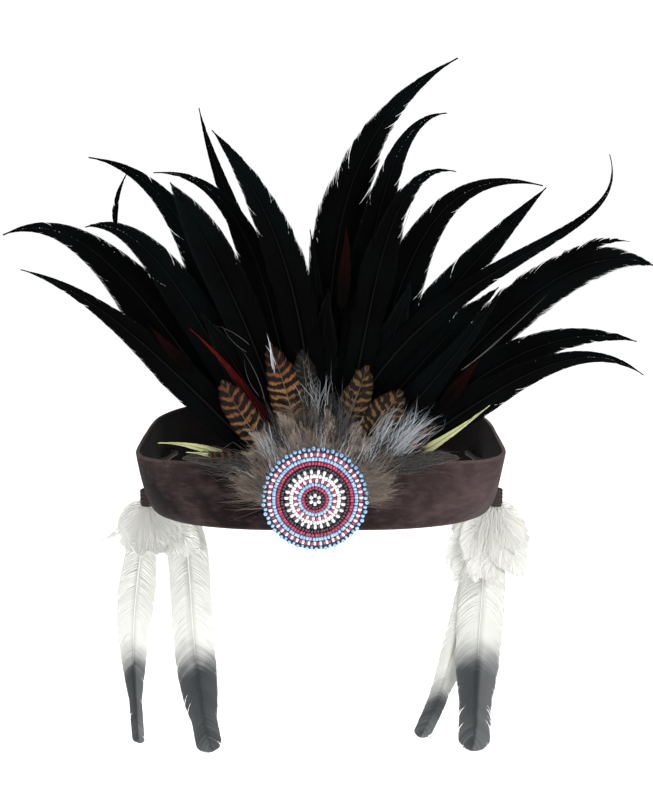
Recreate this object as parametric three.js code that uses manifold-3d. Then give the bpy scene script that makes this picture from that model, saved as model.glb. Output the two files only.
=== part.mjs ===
// Feathered headdress: a suede headband with a beaded rosette on its front, a fan of black tail
// feathers and barred body feathers behind the rosette, and white feathers laced to each side.
// Millimetres, +Z up, the front of the band towards -Y. The origin is the middle of the head
// opening, level with the lower rim.
import * as THREE from "three";
import { mergeVertices } from "three/addons/utils/BufferGeometryUtils.js";
import Module from "manifold-3d";

const wasm = await Module();
wasm.setup();

// Headband
const BAND = {
  halfWidth: 98,
  halfDepth: 92,
  height: 36,
  wall: 2.2,
  frontPowerLow: 3.2, // how square the front corners are at the lower rim
  frontPowerHigh: 8, // and at the upper rim
  backPower: 2.15,
  taperLow: 2.5, // how much narrower the lower rim is on each side
  stations: 96,
  levels: 3,
};
const LAP = { halfAngle: THREE.MathUtils.degToRad(8), thickness: 1.8, step: 0.012 };
const SLIT = { long: 5.4, tall: 3.8, depth: 30, height: 12, nearY: 12, farY: 32 };

// Rosette, which sits a little left of the middle and hangs below the lower rim
const ROSETTE = { x: -2.7, z: 20, radius: 25.6, backingRadius: 26.4, sides: 48 };
const ROSETTE_BACKING = { y: -102.6, thickness: 1.8 };
const ROSETTE_BEADWORK = { y: -103.8, edge: 1.4, crown: 0.9 };

// The layers of feathers between the band and the rosette, each with a round backing
const ROOT = { x: -2.7, z: 17.5, radius: 20, sides: 28, thickness: 1.4 };
const LAYER_Y = { back: -93.0, middle: -94.9, front: -96.8, accent: -98.55, plume: -100.2 };
const TAIL = { thickness: 1.4, stations: 12, rootWidth: 0.34, tipWidth: 0.03 };
const LEAN_AT_CURL = 0.1; // share of its lean that a feather's middle line has at its curl point

// Tail feathers from left to right. Each one's middle line starts at the root, heads for bend,
// comes in by way of curl and ends at the tip. depth is the tip's own Y, width its widest, peak
// the place of that width from 0 at the root to 1 at the tip, taper how full it stays towards
// the tip, and roll the turn of the tip about the middle line in degrees.
const TAIL_FEATHERS = [
  { layer: "front", bendX: -52, bendZ: 55, curlX: -96, curlZ: 121, tipX: -142.5, tipZ: 135, depth: -112, width: 19, peak: 0.5, taper: 0.85, roll: -18 },
  { layer: "back", bendX: -61, bendZ: 56, curlX: -98, curlZ: 176, tipX: -160.5, tipZ: 148.5, depth: -70, width: 25, peak: 0.58, taper: 0.85, roll: 14 },
  { layer: "middle", bendX: -43, bendZ: 55.5, curlX: -72, curlZ: 166, tipX: -114, tipZ: 154, depth: -95.4, width: 19, peak: 0.6, taper: 1.2, roll: 0 },
  { layer: "back", bendX: -48, bendZ: 71, curlX: -47, curlZ: 179, tipX: -116.5, tipZ: 187, depth: -66, width: 24, peak: 0.55, taper: 0.75, roll: 12 },
  { layer: "front", bendX: -24, bendZ: 70.5, curlX: -41, curlZ: 129, tipX: -70.5, tipZ: 176, depth: -112, width: 21, peak: 0.7, taper: 2.6, roll: -20 },
  { layer: "middle", bendX: -22.5, bendZ: 71, curlX: -19, curlZ: 184, tipX: -80.5, tipZ: 180, depth: -95.4, width: 18, peak: 0.55, taper: 0.75, roll: 0 },
  { layer: "back", bendX: -5, bendZ: 86, curlX: -49, curlZ: 163, tipX: -61, tipZ: 211.5, depth: -62, width: 16, peak: 0.5, taper: 0.85, roll: 10 },
  { layer: "front", bendX: -4.5, bendZ: 81.5, curlX: -8, curlZ: 150, tipX: -50, tipZ: 200, depth: -118, width: 21, peak: 0.6, taper: 1.6, roll: -16 },
  { layer: "middle", bendX: -3.5, bendZ: 62.5, curlX: 2, curlZ: 108.5, tipX: -5, tipZ: 153, depth: -95.4, width: 15, peak: 0.5, taper: 0.9, roll: 0 },
  { layer: "back", bendX: 12, bendZ: 91.5, curlX: -15, curlZ: 193, tipX: 69, tipZ: 236, depth: -58, width: 28, peak: 0.58, taper: 0.95, roll: -10 },
  { layer: "middle", bendX: 27, bendZ: 74, curlX: 16, curlZ: 207, tipX: 60.5, tipZ: 208, depth: -95.4, width: 19, peak: 0.55, taper: 0.85, roll: 0 },
  { layer: "front", bendX: 28, bendZ: 68, curlX: 20, curlZ: 190, tipX: 63, tipZ: 181, depth: -118, width: 19, peak: 0.58, taper: 0.9, roll: 18 },
  { layer: "back", bendX: 40, bendZ: 72.5, curlX: 28, curlZ: 194, tipX: 112, tipZ: 173, depth: -68, width: 23, peak: 0.53, taper: 0.8, roll: -14 },
  { layer: "middle", bendX: 23, bendZ: 78, curlX: 66, curlZ: 130, tipX: 109, tipZ: 173, depth: -95.4, width: 19, peak: 0.6, taper: 1.3, roll: 0 },
  { layer: "front", bendX: 36, bendZ: 151, curlX: 155, curlZ: 140, tipX: 133.5, tipZ: 189, depth: -120, width: 14, peak: 0.36, taper: 0.6, roll: 16 },
  { layer: "front", bendX: 34, bendZ: 50, curlX: 64, curlZ: 87, tipX: 88, tipZ: 125.5, depth: -110, width: 17, peak: 0.55, taper: 1, roll: 20 },
  { layer: "back", bendX: 53.5, bendZ: 55, curlX: 108, curlZ: 160, tipX: 169, tipZ: 133, depth: -74, width: 24, peak: 0.62, taper: 2, roll: -14 },
  { layer: "middle", bendX: 48, bendZ: 44, curlX: 92, curlZ: 116, tipX: 156, tipZ: 98, depth: -95.4, width: 19, peak: 0.6, taper: 1.5, roll: 0 },
  { layer: "front", bendX: 55, bendZ: 39, curlX: 113, curlZ: 116.5, tipX: 157.5, tipZ: 83, depth: -106, width: 17, peak: 0.5, taper: 1, roll: 14 },
];

// Barred body feathers and down locks round the upper half of the rosette
const PLUME = { thickness: 1.3, stations: 7, rootWidth: 0.4, tipWidth: 0.3 };
const PLUME_FEATHERS = [
  { bendX: -22, bendZ: 38, curlX: -37, curlZ: 56, tipX: -48, tipZ: 80, depth: -104.5, width: 20, peak: 0.7, taper: 3, roll: 0 },
  { bendX: -10, bendZ: 46, curlX: -15, curlZ: 72, tipX: -24.5, tipZ: 98, depth: -105, width: 19, peak: 0.62, taper: 2, roll: 0 },
  { bendX: -4, bendZ: 46, curlX: -6, curlZ: 70, tipX: -9, tipZ: 95, depth: -103.5, width: 15, peak: 0.68, taper: 2.6, roll: 0 },
  { bendX: 1, bendZ: 40, curlX: 4, curlZ: 56, tipX: 6, tipZ: 74, depth: -105, width: 15, peak: 0.62, taper: 1.8, roll: 0 },
  { bendX: 7, bendZ: 42, curlX: 15, curlZ: 62, tipX: 23, tipZ: 87, depth: -104.5, width: 16, peak: 0.68, taper: 2.8, roll: 0 },
  { bendX: 13, bendZ: 38, curlX: 27, curlZ: 55, tipX: 39.5, tipZ: 75, depth: -105, width: 19, peak: 0.7, taper: 3, roll: 0 },
  { bendX: 17, bendZ: 31, curlX: 36, curlZ: 43, tipX: 56, tipZ: 56, depth: -104, width: 20, peak: 0.7, taper: 3, roll: 0 },
  { bendX: -22, bendZ: 28, curlX: -39, curlZ: 35, tipX: -55, tipZ: 43, depth: -104, width: 18, peak: 0.6, taper: 1.8, roll: 0 },
  { bendX: -24, bendZ: 20, curlX: -37, curlZ: 20, tipX: -51, tipZ: 20, depth: -103.5, width: 16, peak: 0.6, taper: 1.6, roll: 0 },
  { bendX: 19, bendZ: 22, curlX: 29, curlZ: 25, tipX: 40, tipZ: 24, depth: -103.5, width: 16, peak: 0.6, taper: 1.6, roll: 0 },
];

// Slim accent feathers in front of the tail feathers; root says how far out each one starts
const ACCENT = { thickness: 1.2, stations: 7, rootWidth: 0.5, tipWidth: 0.06 };
const ACCENT_FEATHERS = [
  { name: "cream_feather_left", colour: 0xd9d59a, rootX: -16, rootZ: 24, bendX: -34, bendZ: 32, curlX: -52, curlZ: 48, tipX: -80, tipZ: 48.5, depth: -103, width: 8, peak: 0.45, taper: 1, roll: 0 },
  { name: "cream_feather_right", colour: 0xd4d28c, rootX: 10, rootZ: 24, bendX: 34, bendZ: 32, curlX: 58, curlZ: 45, tipX: 83.5, tipZ: 67, depth: -101, width: 6.5, peak: 0.5, taper: 1, roll: 0 },
  { name: "red_hackle", colour: 0x7d1319, rootX: -12, rootZ: 31, bendX: -24, bendZ: 52, curlX: -36, curlZ: 80, tipX: -63.5, tipZ: 105.5, depth: -103, width: 6, peak: 0.45, taper: 1.1, roll: 0 },
];

// Laces: the right one's middle line, from the wrap up to the near slit, along the inside of the
// wall to the far slit and back down. The left one is its mirror image.
const LACE = { radius: 1.3, sides: 8, spacing: 3 };
const LACE_ROUTE = [
  [101.6, 7.6, -3.6],
  [101.3, 8.2, 0.5],
  [100.4, 9.6, 5.6],
  [98.6, 11.2, 10.4],
  [95.2, 11.9, 12],
  [91.9, 12.8, 12],
  [90.4, 16, 12],
  [89.7, 20, 12],
  [88.7, 24.5, 12],
  [87.4, 29, 12],
  [87.8, 31.4, 12],
  [90.4, 32.1, 12],
  [94.0, 31.9, 12],
  [97.4, 30.2, 9.8],
  [99.6, 25.6, 6],
  [101.2, 19.2, 2],
  [102.4, 13.2, -0.8],
  [102.9, 11, -3.6],
];

// Side plumes: the wrapped head, two white feathers and the locks of the down puff on the right
// and on the left, from the same kind of row as the tail feathers, each with its own tipWidth.
const HEAD = { radius: 4.4, height: 10, top: -4.8, sides: 14, y: 9.3, x: 102.3 };
const WHITE = { thickness: 2, stations: 12, rootWidth: 0.35 };
const WHITE_FEATHERS = {
  right: [
    { rootX: 100, bendX: 96, bendZ: -48, curlX: 93.5, curlZ: -111, tipX: 92, tipZ: -164, depth: 3, width: 29, peak: 0.44, taper: 3.5, tipWidth: 0.7, roll: 10 },
    { rootX: 98, bendX: 93, bendZ: -50, curlX: 84, curlZ: -110, tipX: 62, tipZ: -165, depth: 20, width: 18, peak: 0.5, taper: 3, tipWidth: 0.72, roll: -14 },
  ],
  left: [
    { rootX: -104, bendX: -108, bendZ: -76, curlX: -117, curlZ: -68, tipX: -112.5, tipZ: -166, depth: 14, width: 23, peak: 0.45, taper: 2.2, tipWidth: 0.36, roll: 10 },
    { rootX: -96, bendX: -68, bendZ: -26, curlX: -86.5, curlZ: -68, tipX: -67.5, tipZ: -165, depth: 2, width: 25, peak: 0.42, taper: 9, tipWidth: 0.64, roll: -12 },
  ],
};
const DOWN = {
  thickness: 8,
  stations: 5,
  rootWidth: 0.55,
  tipWidth: 0.3,
  width: 17,
  peak: 0.5,
  taper: 1.8,
};
// Where the tip of each lock of a puff lies: out and drop from the root, and its own Y as depth
const DOWN_LOCKS = {
  right: [
    { out: 16, drop: 52, depth: 4 },
    { out: 19, drop: 38, depth: 12 },
    { out: 5, drop: 34, depth: -8 },
    { out: -23, drop: 54, depth: 2 },
    { out: -30, drop: 42, depth: 4 },
    { out: -24, drop: 22, depth: 14 },
    { out: -11, drop: 44, depth: -12 },
    { out: 4, drop: 46, depth: -10 },
    { out: -12, drop: 44, depth: 26 },
    { out: 8, drop: 45, depth: 27 },
  ],
  left: [
    { out: -25, drop: 28, depth: 8 },
    { out: -15, drop: 37, depth: 4 },
    { out: -12, drop: 32, depth: 22 },
    { out: -5, drop: 40, depth: -9 },
    { out: 8, drop: 36, depth: -8 },
    { out: 20, drop: 26, depth: 2 },
    { out: 33, drop: 33, depth: 4 },
    { out: 22, drop: 44, depth: 10 },
    { out: 12, drop: 42, depth: 26 },
    { out: -4, drop: 42, depth: 26 },
  ],
};

// A three.js geometry as a manifold-3d solid.
function solidOf(geometry) {
  const bare = geometry.index ? geometry.toNonIndexed() : geometry.clone();
  bare.deleteAttribute("normal");
  bare.deleteAttribute("uv");
  const merged = mergeVertices(bare, 1e-4);
  const mesh = new wasm.Mesh({
    numProp: 3,
    vertProperties: new Float32Array(merged.attributes.position.array),
    triVerts: new Uint32Array(merged.index.array),
  });
  return new wasm.Manifold(mesh);
}

// A manifold-3d solid as a three.js geometry.
function geometryOf(solid) {
  const mesh = solid.getMesh();
  const points = new Float32Array(mesh.numVert * 3);
  for (let i = 0; i < mesh.numVert; i++) {
    points.set(mesh.vertProperties.subarray(i * mesh.numProp, i * mesh.numProp + 3), i * 3);
  }
  const geometry = new THREE.BufferGeometry();
  geometry.setAttribute("position", new THREE.BufferAttribute(points, 3));
  geometry.setIndex(new THREE.BufferAttribute(mesh.triVerts, 1));
  geometry.computeVertexNormals();
  return geometry;
}

// Several geometries joined into one.
function fused(geometries) {
  return geometryOf(geometries.map(solidOf).reduce((whole, next) => whole.add(next)));
}

// A closed surface through rings of equally many points. The rings are joined in turn, and the
// last one to the first where closed is true; otherwise both ends are capped.
function throughRings(rings, closed) {
  const sides = rings[0].length;
  const positions = [];
  const triangle = (a, b, c) => positions.push(...a.toArray(), ...b.toArray(), ...c.toArray());
  const last = closed ? rings.length : rings.length - 1;
  for (let i = 0; i < last; i++) {
    const here = rings[i];
    const next = rings[(i + 1) % rings.length];
    for (let j = 0; j < sides; j++) {
      const k = (j + 1) % sides;
      triangle(here[j], next[k], here[k]);
      triangle(here[j], next[j], next[k]);
    }
  }
  if (!closed) {
    const end = rings[rings.length - 1];
    for (let j = 1; j < sides - 1; j++) {
      triangle(rings[0][0], rings[0][j], rings[0][j + 1]);
      triangle(end[0], end[j + 1], end[j]);
    }
  }
  const geometry = new THREE.BufferGeometry();
  geometry.setAttribute("position", new THREE.Float32BufferAttribute(positions, 3));
  return geometry;
}

// The band's outline at a height, in a direction from the middle: its distance out.
function bandReach(angle, z) {
  const up = z / BAND.height;
  const frontPower = THREE.MathUtils.lerp(BAND.frontPowerLow, BAND.frontPowerHigh, up);
  const power = Math.sin(angle) < 0 ? frontPower : BAND.backPower;
  const wide = BAND.halfWidth - BAND.taperLow * (1 - up);
  const across = Math.abs(Math.cos(angle)) / wide;
  const along = Math.abs(Math.sin(angle)) / BAND.halfDepth;
  return Math.pow(across ** power + along ** power, -1 / power);
}

function bandPoint(angle, z, inset) {
  const at = (a) => new THREE.Vector3(Math.cos(a), Math.sin(a), 0).multiplyScalar(bandReach(a, z));
  const along = at(angle + 0.01).sub(at(angle - 0.01)).normalize();
  return at(angle).add(new THREE.Vector3(-along.y * inset, along.x * inset, z));
}

// The directions of the band's stations, with the lap's steps among them.
function bandAngles() {
  const even = Array.from({ length: BAND.stations }, (_, i) => (i / BAND.stations) * 2 * Math.PI);
  const back = Math.PI / 2;
  const steps = [-1, 1].flatMap((side) =>
    [0, LAP.step].map((more) => back + side * (LAP.halfAngle + more)),
  );
  return [...even, ...steps].sort((a, b) => a - b);
}

function headband() {
  const heights = Array.from(
    { length: BAND.levels },
    (_, i) => (i / (BAND.levels - 1)) * BAND.height,
  );
  const rings = bandAngles().map((angle) => {
    const onLap = Math.abs(angle - Math.PI / 2) < LAP.halfAngle + LAP.step / 2;
    const outside = heights.map((z) => bandPoint(angle, z, onLap ? -LAP.thickness : 0));
    const inside = heights.map((z) => bandPoint(angle, z, BAND.wall));
    return [...outside, ...inside.reverse()];
  });
  let band = solidOf(throughRings(rings, true));
  for (const side of [-1, 1]) {
    for (const y of [SLIT.nearY, SLIT.farY]) {
      const slit = new THREE.BoxGeometry(SLIT.depth, SLIT.long, SLIT.tall);
      slit.translate(side * BAND.halfWidth, y, SLIT.height);
      band = band.subtract(solidOf(slit));
    }
  }
  return geometryOf(band);
}

// The share of its full width that a feather has at a place along it.
function fullness(row, rootWidth, place) {
  if (place < row.peak) {
    return rootWidth + (1 - rootWidth) * Math.sin((place / row.peak) * (Math.PI / 2));
  }
  return 1 - ((place - row.peak) / (1 - row.peak)) ** row.taper;
}

// One feather: a blade with a ridge down the middle of each face, thin at both edges.
function feather(row, kind, root) {
  const spine = new THREE.CubicBezierCurve3(
    root,
    new THREE.Vector3(row.bendX, root.y, row.bendZ),
    new THREE.Vector3(row.curlX, root.y + LEAN_AT_CURL * (row.depth - root.y), row.curlZ),
    new THREE.Vector3(row.tipX, row.depth, row.tipZ),
  );
  const facing = new THREE.Vector3(0, -1, 0);
  const rings = [];
  for (let i = 0; i <= kind.stations; i++) {
    const place = i / kind.stations;
    const least = row.tipWidth ?? kind.tipWidth;
    const width = row.width * Math.max(fullness(row, kind.rootWidth, place), least);
    const thickness = kind.thickness * Math.max(1 - 0.65 * place ** 2, 0.3);
    const along = spine.getTangent(place);
    const side = new THREE.Vector3().crossVectors(along, facing).normalize();
    side.applyAxisAngle(along, THREE.MathUtils.degToRad(row.roll) * place * place);
    const face = new THREE.Vector3().crossVectors(side, along).normalize();
    const middle = spine.getPoint(place);
    const out = (direction, distance) => middle.clone().addScaledVector(direction, distance);
    rings.push([
      out(side, width / 2),
      out(face, thickness / 2),
      out(side, -width / 2),
      out(face, -thickness / 2),
    ]);
  }
  return throughRings(rings, false);
}

// The round backing that the roots of a layer are fused to.
function backing(y) {
  const disc = new THREE.CylinderGeometry(ROOT.radius, ROOT.radius, ROOT.thickness, ROOT.sides);
  disc.translate(ROOT.x, y, ROOT.z);
  return disc;
}

function layerOf(rows, kind, y) {
  const root = new THREE.Vector3(ROOT.x, y, ROOT.z);
  return fused([backing(y), ...rows.map((row) => feather(row, kind, root))]);
}

function rosetteBacking() {
  const { backingRadius: radius, sides } = ROSETTE;
  return new THREE.CylinderGeometry(radius, radius, ROSETTE_BACKING.thickness, sides);
}

// The beadwork: a disc with a rounded edge and a slightly crowned face.
function rosetteBeadwork() {
  const { radius, sides } = ROSETTE;
  const { edge, crown } = ROSETTE_BEADWORK;
  const profile = [new THREE.Vector2(0, 0), new THREE.Vector2(radius - 0.4, 0)];
  profile.push(new THREE.Vector2(radius, edge / 2));
  const steps = 5;
  for (let i = steps; i > 0; i--) {
    const r = ((radius - 0.5) * i) / steps;
    profile.push(new THREE.Vector2(r, edge + crown * (1 - (i / steps) ** 2)));
  }
  profile.push(new THREE.Vector2(0, edge + crown));
  return new THREE.LatheGeometry(profile, sides).rotateX(Math.PI);
}

// A smooth curve through points whose ends are cut square.
function lace(side) {
  const points = LACE_ROUTE.map(([x, y, z]) => new THREE.Vector3(side * x, y, z));
  const route = new THREE.CatmullRomCurve3(points);
  const section = new THREE.Shape();
  for (let i = 0; i < LACE.sides; i++) {
    const turn = (i / LACE.sides) * 2 * Math.PI;
    const corner = [LACE.radius * Math.cos(turn), LACE.radius * Math.sin(turn)];
    if (i === 0) section.moveTo(...corner);
    else section.lineTo(...corner);
  }
  const steps = Math.round(route.getLength() / LACE.spacing);
  return new THREE.ExtrudeGeometry(section, { steps, extrudePath: route, curveSegments: 1 });
}

// One lock of a down puff, which spreads from the root and hangs down like a skirt.
function downLock(lock, root) {
  const row = {
    bendX: root.x + lock.out * 0.25,
    bendZ: root.z - lock.drop * 0.3,
    curlX: root.x + lock.out * 0.6,
    curlZ: root.z - lock.drop * 0.7,
    tipX: root.x + lock.out,
    tipZ: root.z - lock.drop,
    depth: lock.depth,
    width: DOWN.width,
    peak: DOWN.peak,
    taper: DOWN.taper,
    roll: 0,
  };
  return feather(row, DOWN, root);
}

// One side's plume: wrapped head, feathers and down locks as one body.
function sidePlume(side) {
  const head = new THREE.CylinderGeometry(HEAD.radius, HEAD.radius, HEAD.height, HEAD.sides);
  head.rotateX(Math.PI / 2);
  head.translate(side * HEAD.x, HEAD.y, HEAD.top - HEAD.height / 2);
  const root = new THREE.Vector3(side * HEAD.x, HEAD.y, HEAD.top - HEAD.height / 2);
  const name = side > 0 ? "right" : "left";
  const rows = WHITE_FEATHERS[name];
  const blades = rows.map((row) =>
    feather(row, WHITE, new THREE.Vector3(row.rootX, root.y, root.z)),
  );
  const locks = DOWN_LOCKS[name].map((lock) => downLock(lock, root));
  return fused([head, ...blades, ...locks]);
}

const headdress = new THREE.Group();

function addPiece(name, geometry, colour, roughness, x = 0, y = 0, z = 0) {
  const material = new THREE.MeshStandardMaterial({ color: colour, roughness, metalness: 0 });
  const mesh = new THREE.Mesh(geometry, material);
  mesh.name = name;
  mesh.position.set(x, y, z);
  headdress.add(mesh);
}

addPiece("headband", headband(), 0x2e2022, 0.95);
addPiece("rosette_backing", rosetteBacking(), 0x151a33, 0.8, ROSETTE.x, ROSETTE_BACKING.y, ROSETTE.z);
addPiece("rosette_beadwork", rosetteBeadwork(), 0xa8323f, 0.35, ROSETTE.x, ROSETTE_BEADWORK.y, ROSETTE.z);

for (const layer of ["back", "middle", "front"]) {
  const rows = TAIL_FEATHERS.filter((row) => row.layer === layer);
  addPiece(`tail_feathers_${layer}`, layerOf(rows, TAIL, LAYER_Y[layer]), 0x0b0c0d, 0.45);
}
addPiece("barred_plume", layerOf(PLUME_FEATHERS, PLUME, LAYER_Y.plume), 0x6b5334, 0.85);

for (const row of ACCENT_FEATHERS) {
  const root = new THREE.Vector3(row.rootX, LAYER_Y.accent, row.rootZ);
  addPiece(row.name, feather(row, ACCENT, root), row.colour, 0.7);
}

for (const [name, side] of [["left", -1], ["right", 1]]) {
  addPiece(`lace_${name}`, lace(side), 0x3a2620, 0.85);
  addPiece(`white_plume_${name}`, sidePlume(side), 0xe6e6e2, 0.9);
}

export default headdress;
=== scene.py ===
"""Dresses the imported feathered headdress: suede band, beaded rosette, a fan of black tail feathers
with barred body feathers and down, and white feathers laced to both sides.

Sizes are in millimetres in the tables and become metres where a mesh is made. +Z is up and the
front of the band faces -Y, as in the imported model.
"""

import logging
import math
from collections.abc import Callable, Iterable, Sequence
from dataclasses import dataclass, field, replace
from enum import Enum, IntEnum
from typing import Protocol

import bpy
import numpy as np
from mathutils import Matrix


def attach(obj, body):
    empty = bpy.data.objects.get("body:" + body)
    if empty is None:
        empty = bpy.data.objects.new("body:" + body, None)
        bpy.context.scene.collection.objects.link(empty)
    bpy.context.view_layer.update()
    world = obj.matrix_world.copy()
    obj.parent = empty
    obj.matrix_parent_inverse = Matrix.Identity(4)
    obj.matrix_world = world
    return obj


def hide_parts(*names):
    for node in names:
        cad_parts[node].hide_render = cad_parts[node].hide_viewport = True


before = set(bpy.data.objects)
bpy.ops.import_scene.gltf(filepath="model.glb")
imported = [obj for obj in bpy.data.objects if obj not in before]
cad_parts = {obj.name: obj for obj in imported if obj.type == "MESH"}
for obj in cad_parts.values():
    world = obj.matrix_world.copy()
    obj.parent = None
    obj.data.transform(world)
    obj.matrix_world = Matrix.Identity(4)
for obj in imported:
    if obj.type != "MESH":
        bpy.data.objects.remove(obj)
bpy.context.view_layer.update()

LOG = logging.getLogger("headdress")
BODY = "root"
MM = 0.001

Colour = tuple[float, float, float]
Pair = tuple[float, float]
Point = tuple[float, float, float]
Array = np.ndarray
Chance = np.random.Generator
Material = bpy.types.Material
Piece = bpy.types.Object
Socket = bpy.types.NodeSocket


# Shader sums


class Sum:
    """A number that a finish's nodes work out. Each operator adds its Math node."""

    def __init__(self, recipe: "Recipe", socket: Socket) -> None:
        """Args:
            recipe: the finish's node tree.
            socket: the output that holds the number.
        """
        self.recipe = recipe
        self.socket = socket

    def _math(self, operation: str, first: object, second: object) -> "Sum":
        """The result of a Math node for an operation on two numbers or sums."""
        return self.recipe.value("ShaderNodeMath", {"operation": operation}, {0: first, 1: second})

    def __add__(self, other: object) -> "Sum":
        """This plus other."""
        return self._math("ADD", self, other)

    __radd__ = __add__

    def __sub__(self, other: object) -> "Sum":
        """This minus other."""
        return self._math("SUBTRACT", self, other)

    def __rsub__(self, other: object) -> "Sum":
        """Other minus this."""
        return self._math("SUBTRACT", other, self)

    def __mul__(self, other: object) -> "Sum":
        """This times other."""
        return self._math("MULTIPLY", self, other)

    __rmul__ = __mul__

    def __abs__(self) -> "Sum":
        """This without its sign."""
        return self._math("ABSOLUTE", self, 0.0)

    def sine(self) -> "Sum":
        """The sine of this."""
        return self._math("SINE", self, 0.0)

    def between(self, low: float, high: float) -> "Sum":
        """A smooth step of this.

        Args:
            low: where the step starts from 0.
            high: where it reaches 1; below low, the step falls.

        Returns:
            The step, from 0 to 1.
        """
        settings = {"interpolation_type": "SMOOTHSTEP"}
        if low < high:
            return self.recipe.value("ShaderNodeMapRange", settings, {0: self, 1: low, 2: high})
        return 1.0 - self.between(high, low)


class Recipe:
    """The node tree of one material, or of the world."""

    def __init__(self, name: str, kind: str = "materials") -> None:
        """Args:
            name: the name of the material or world.
            kind: materials or worlds.
        """
        self.holder = getattr(bpy.data, kind).new(name)
        self.holder.use_nodes = True
        self.tree = self.holder.node_tree
        self.tree.nodes.clear()

    def node(self, kind: str, settings: dict | None = None, values: dict | None = None) -> bpy.types.Node:
        """Adds a node.

        Args:
            kind: the node's type.
            settings: its properties, set first.
            values: what its inputs hold, by name or number: a number, a colour or a socket.

        Returns:
            The node.
        """
        made = self.tree.nodes.new(kind)
        for key, value in (settings or {}).items():
            setattr(made, key, value)
        for key, value in (values or {}).items():
            held = value.socket if isinstance(value, Sum) else value
            if isinstance(held, Socket):
                self.tree.links.new(held, made.inputs[key])
            elif isinstance(held, tuple) and len(made.inputs[key].default_value) == len(held) + 1:
                made.inputs[key].default_value = (*held, 1.0)
            else:
                made.inputs[key].default_value = held
        return made

    def value(self, kind: str, settings: dict | None, values: dict, output: object = 0) -> Sum:
        """Adds a node as node does, and wraps one of its outputs, by name or number."""
        return Sum(self, self.node(kind, settings, values).outputs[output])

    def place(self, stretch: Point | None = None) -> Socket:
        """The place on the piece in metres.

        Args:
            stretch: how many times each axis is stretched, if any is.

        Returns:
            The vector.
        """
        where = self.node("ShaderNodeTexCoord").outputs["Object"]
        if stretch is None:
            return where
        return self.node("ShaderNodeMapping", None, {"Vector": where, "Scale": stretch}).outputs[0]

    def axis(self, letter: str) -> Sum:
        """How far along X, Y or Z the place is, in metres."""
        return self.value("ShaderNodeSeparateXYZ", None, {0: self.place()}, letter)

    def kept(self, name: str) -> Sum:
        """The number that the mesh keeps under a name."""
        return self.value("ShaderNodeAttribute", {"attribute_name": name}, {}, "Fac")

    def noise(self, scale: float, detail: float = 2.0, stretch: Point | None = None) -> Sum:
        """Cloudy noise from 0 to 1, mostly near a half; scale is how many clouds a metre has."""
        values = {"Vector": self.place(stretch), "Scale": scale, "Detail": detail}
        return self.value("ShaderNodeTexNoise", None, values, "Fac")

    def mix(self, share: object, first: object, second: object) -> Socket:
        """The second colour over the first, of which the share shows."""
        settings = {"data_type": "RGBA", "clamp_factor": True}
        return self.node("ShaderNodeMix", settings, {0: share, 6: first, 7: second}).outputs[2]

    def bump(self, height: Sum, distance: float, strength: float = 1.0) -> Socket:
        """The normal of a relief whose height goes from 0 to 1, distance metres deep."""
        values = {"Height": height, "Distance": distance, "Strength": strength}
        return self.node("ShaderNodeBump", None, values).outputs[0]

    def finish(self, values: dict) -> Material:
        """Closes the tree with its surface shader.

        Args:
            values: what the shader's inputs hold.

        Returns:
            The material.
        """
        shader = self.node("ShaderNodeBsdfPrincipled", None, values)
        self.node("ShaderNodeOutputMaterial", None, {"Surface": shader.outputs[0]})
        return self.holder


# Finishes


class Finish(Protocol):
    """What a surface looks like."""

    def material(self) -> Material:
        """The finish as a material."""


@dataclass(frozen=True)
class Suede:
    """Brushed leather with marks in it and paler rubbed rims, and painted shade that darkens it towards -X,
    as if the light fell from +X.
    """

    name: str
    deep: Colour
    pale_nap_and_lit_side: Colour
    rubbed: Colour
    low_rim: float = 0.0
    high_rim: float = 36.0
    sheen: float = 0.05

    def material(self) -> Material:
        """Mixes the finish.

        Returns:
            The material.
        """
        recipe = Recipe(self.name)
        patches = recipe.noise(38.0, 4.0).between(0.38, 0.66)
        streaks = recipe.noise(150.0, 3.0, (1.0, 1.0, 2.4)).between(0.42, 0.7)
        nap = recipe.noise(1500.0, 3.0)
        pores = recipe.noise(520.0, 5.0)
        lint = recipe.noise(330.0, 1.0).between(0.765, 0.8)
        # Painted shade: the colour darkens towards -X, standing in for the light that falls from +X.
        painted_side_shade = recipe.axis("X").between(-0.05, 0.09)
        share = patches * 0.4 + streaks * 0.25 + nap * 0.25 + painted_side_shade * 0.48 - 0.26
        colour = recipe.mix(share, self.deep, self.pale_nap_and_lit_side)
        high = recipe.axis("Z").between((self.high_rim - 1.6) * MM, self.high_rim * MM)
        low = recipe.axis("Z").between((self.low_rim + 1.6) * MM, self.low_rim * MM)
        rim = (high + low) * nap.between(0.3, 0.62)
        colour = recipe.mix(rim * 0.5 + lint * 0.35, colour, self.rubbed)
        return recipe.finish({
            "Base Color": colour,
            "Roughness": 0.9 + nap * 0.1,
            "Specular IOR Level": 0.05,
            "Sheen Weight": self.sheen,
            "Sheen Roughness": 0.45,
            "Normal": recipe.bump(nap * 0.5 + pores * 0.9 + streaks * 0.4, 0.00045, 0.6),
        })


@dataclass(frozen=True)
class Leather:
    """Smooth leather with fine grain, such as the laces and the disc behind the beads."""

    name: str
    colour: Colour
    worn: Colour
    roughness: float = 0.62

    def material(self) -> Material:
        """Mixes the finish.

        Returns:
            The material.
        """
        recipe = Recipe(self.name)
        grain = recipe.noise(1300.0, 4.0)
        wear = recipe.noise(260.0, 3.0).between(0.46, 0.72)
        return recipe.finish({
            "Base Color": recipe.mix(wear * 0.5 + grain * 0.2, self.colour, self.worn),
            "Roughness": self.roughness + grain * 0.2,
            "Specular IOR Level": 0.35,
            "Normal": recipe.bump(grain + wear * 0.3, 0.00025, 0.6),
        })


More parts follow.
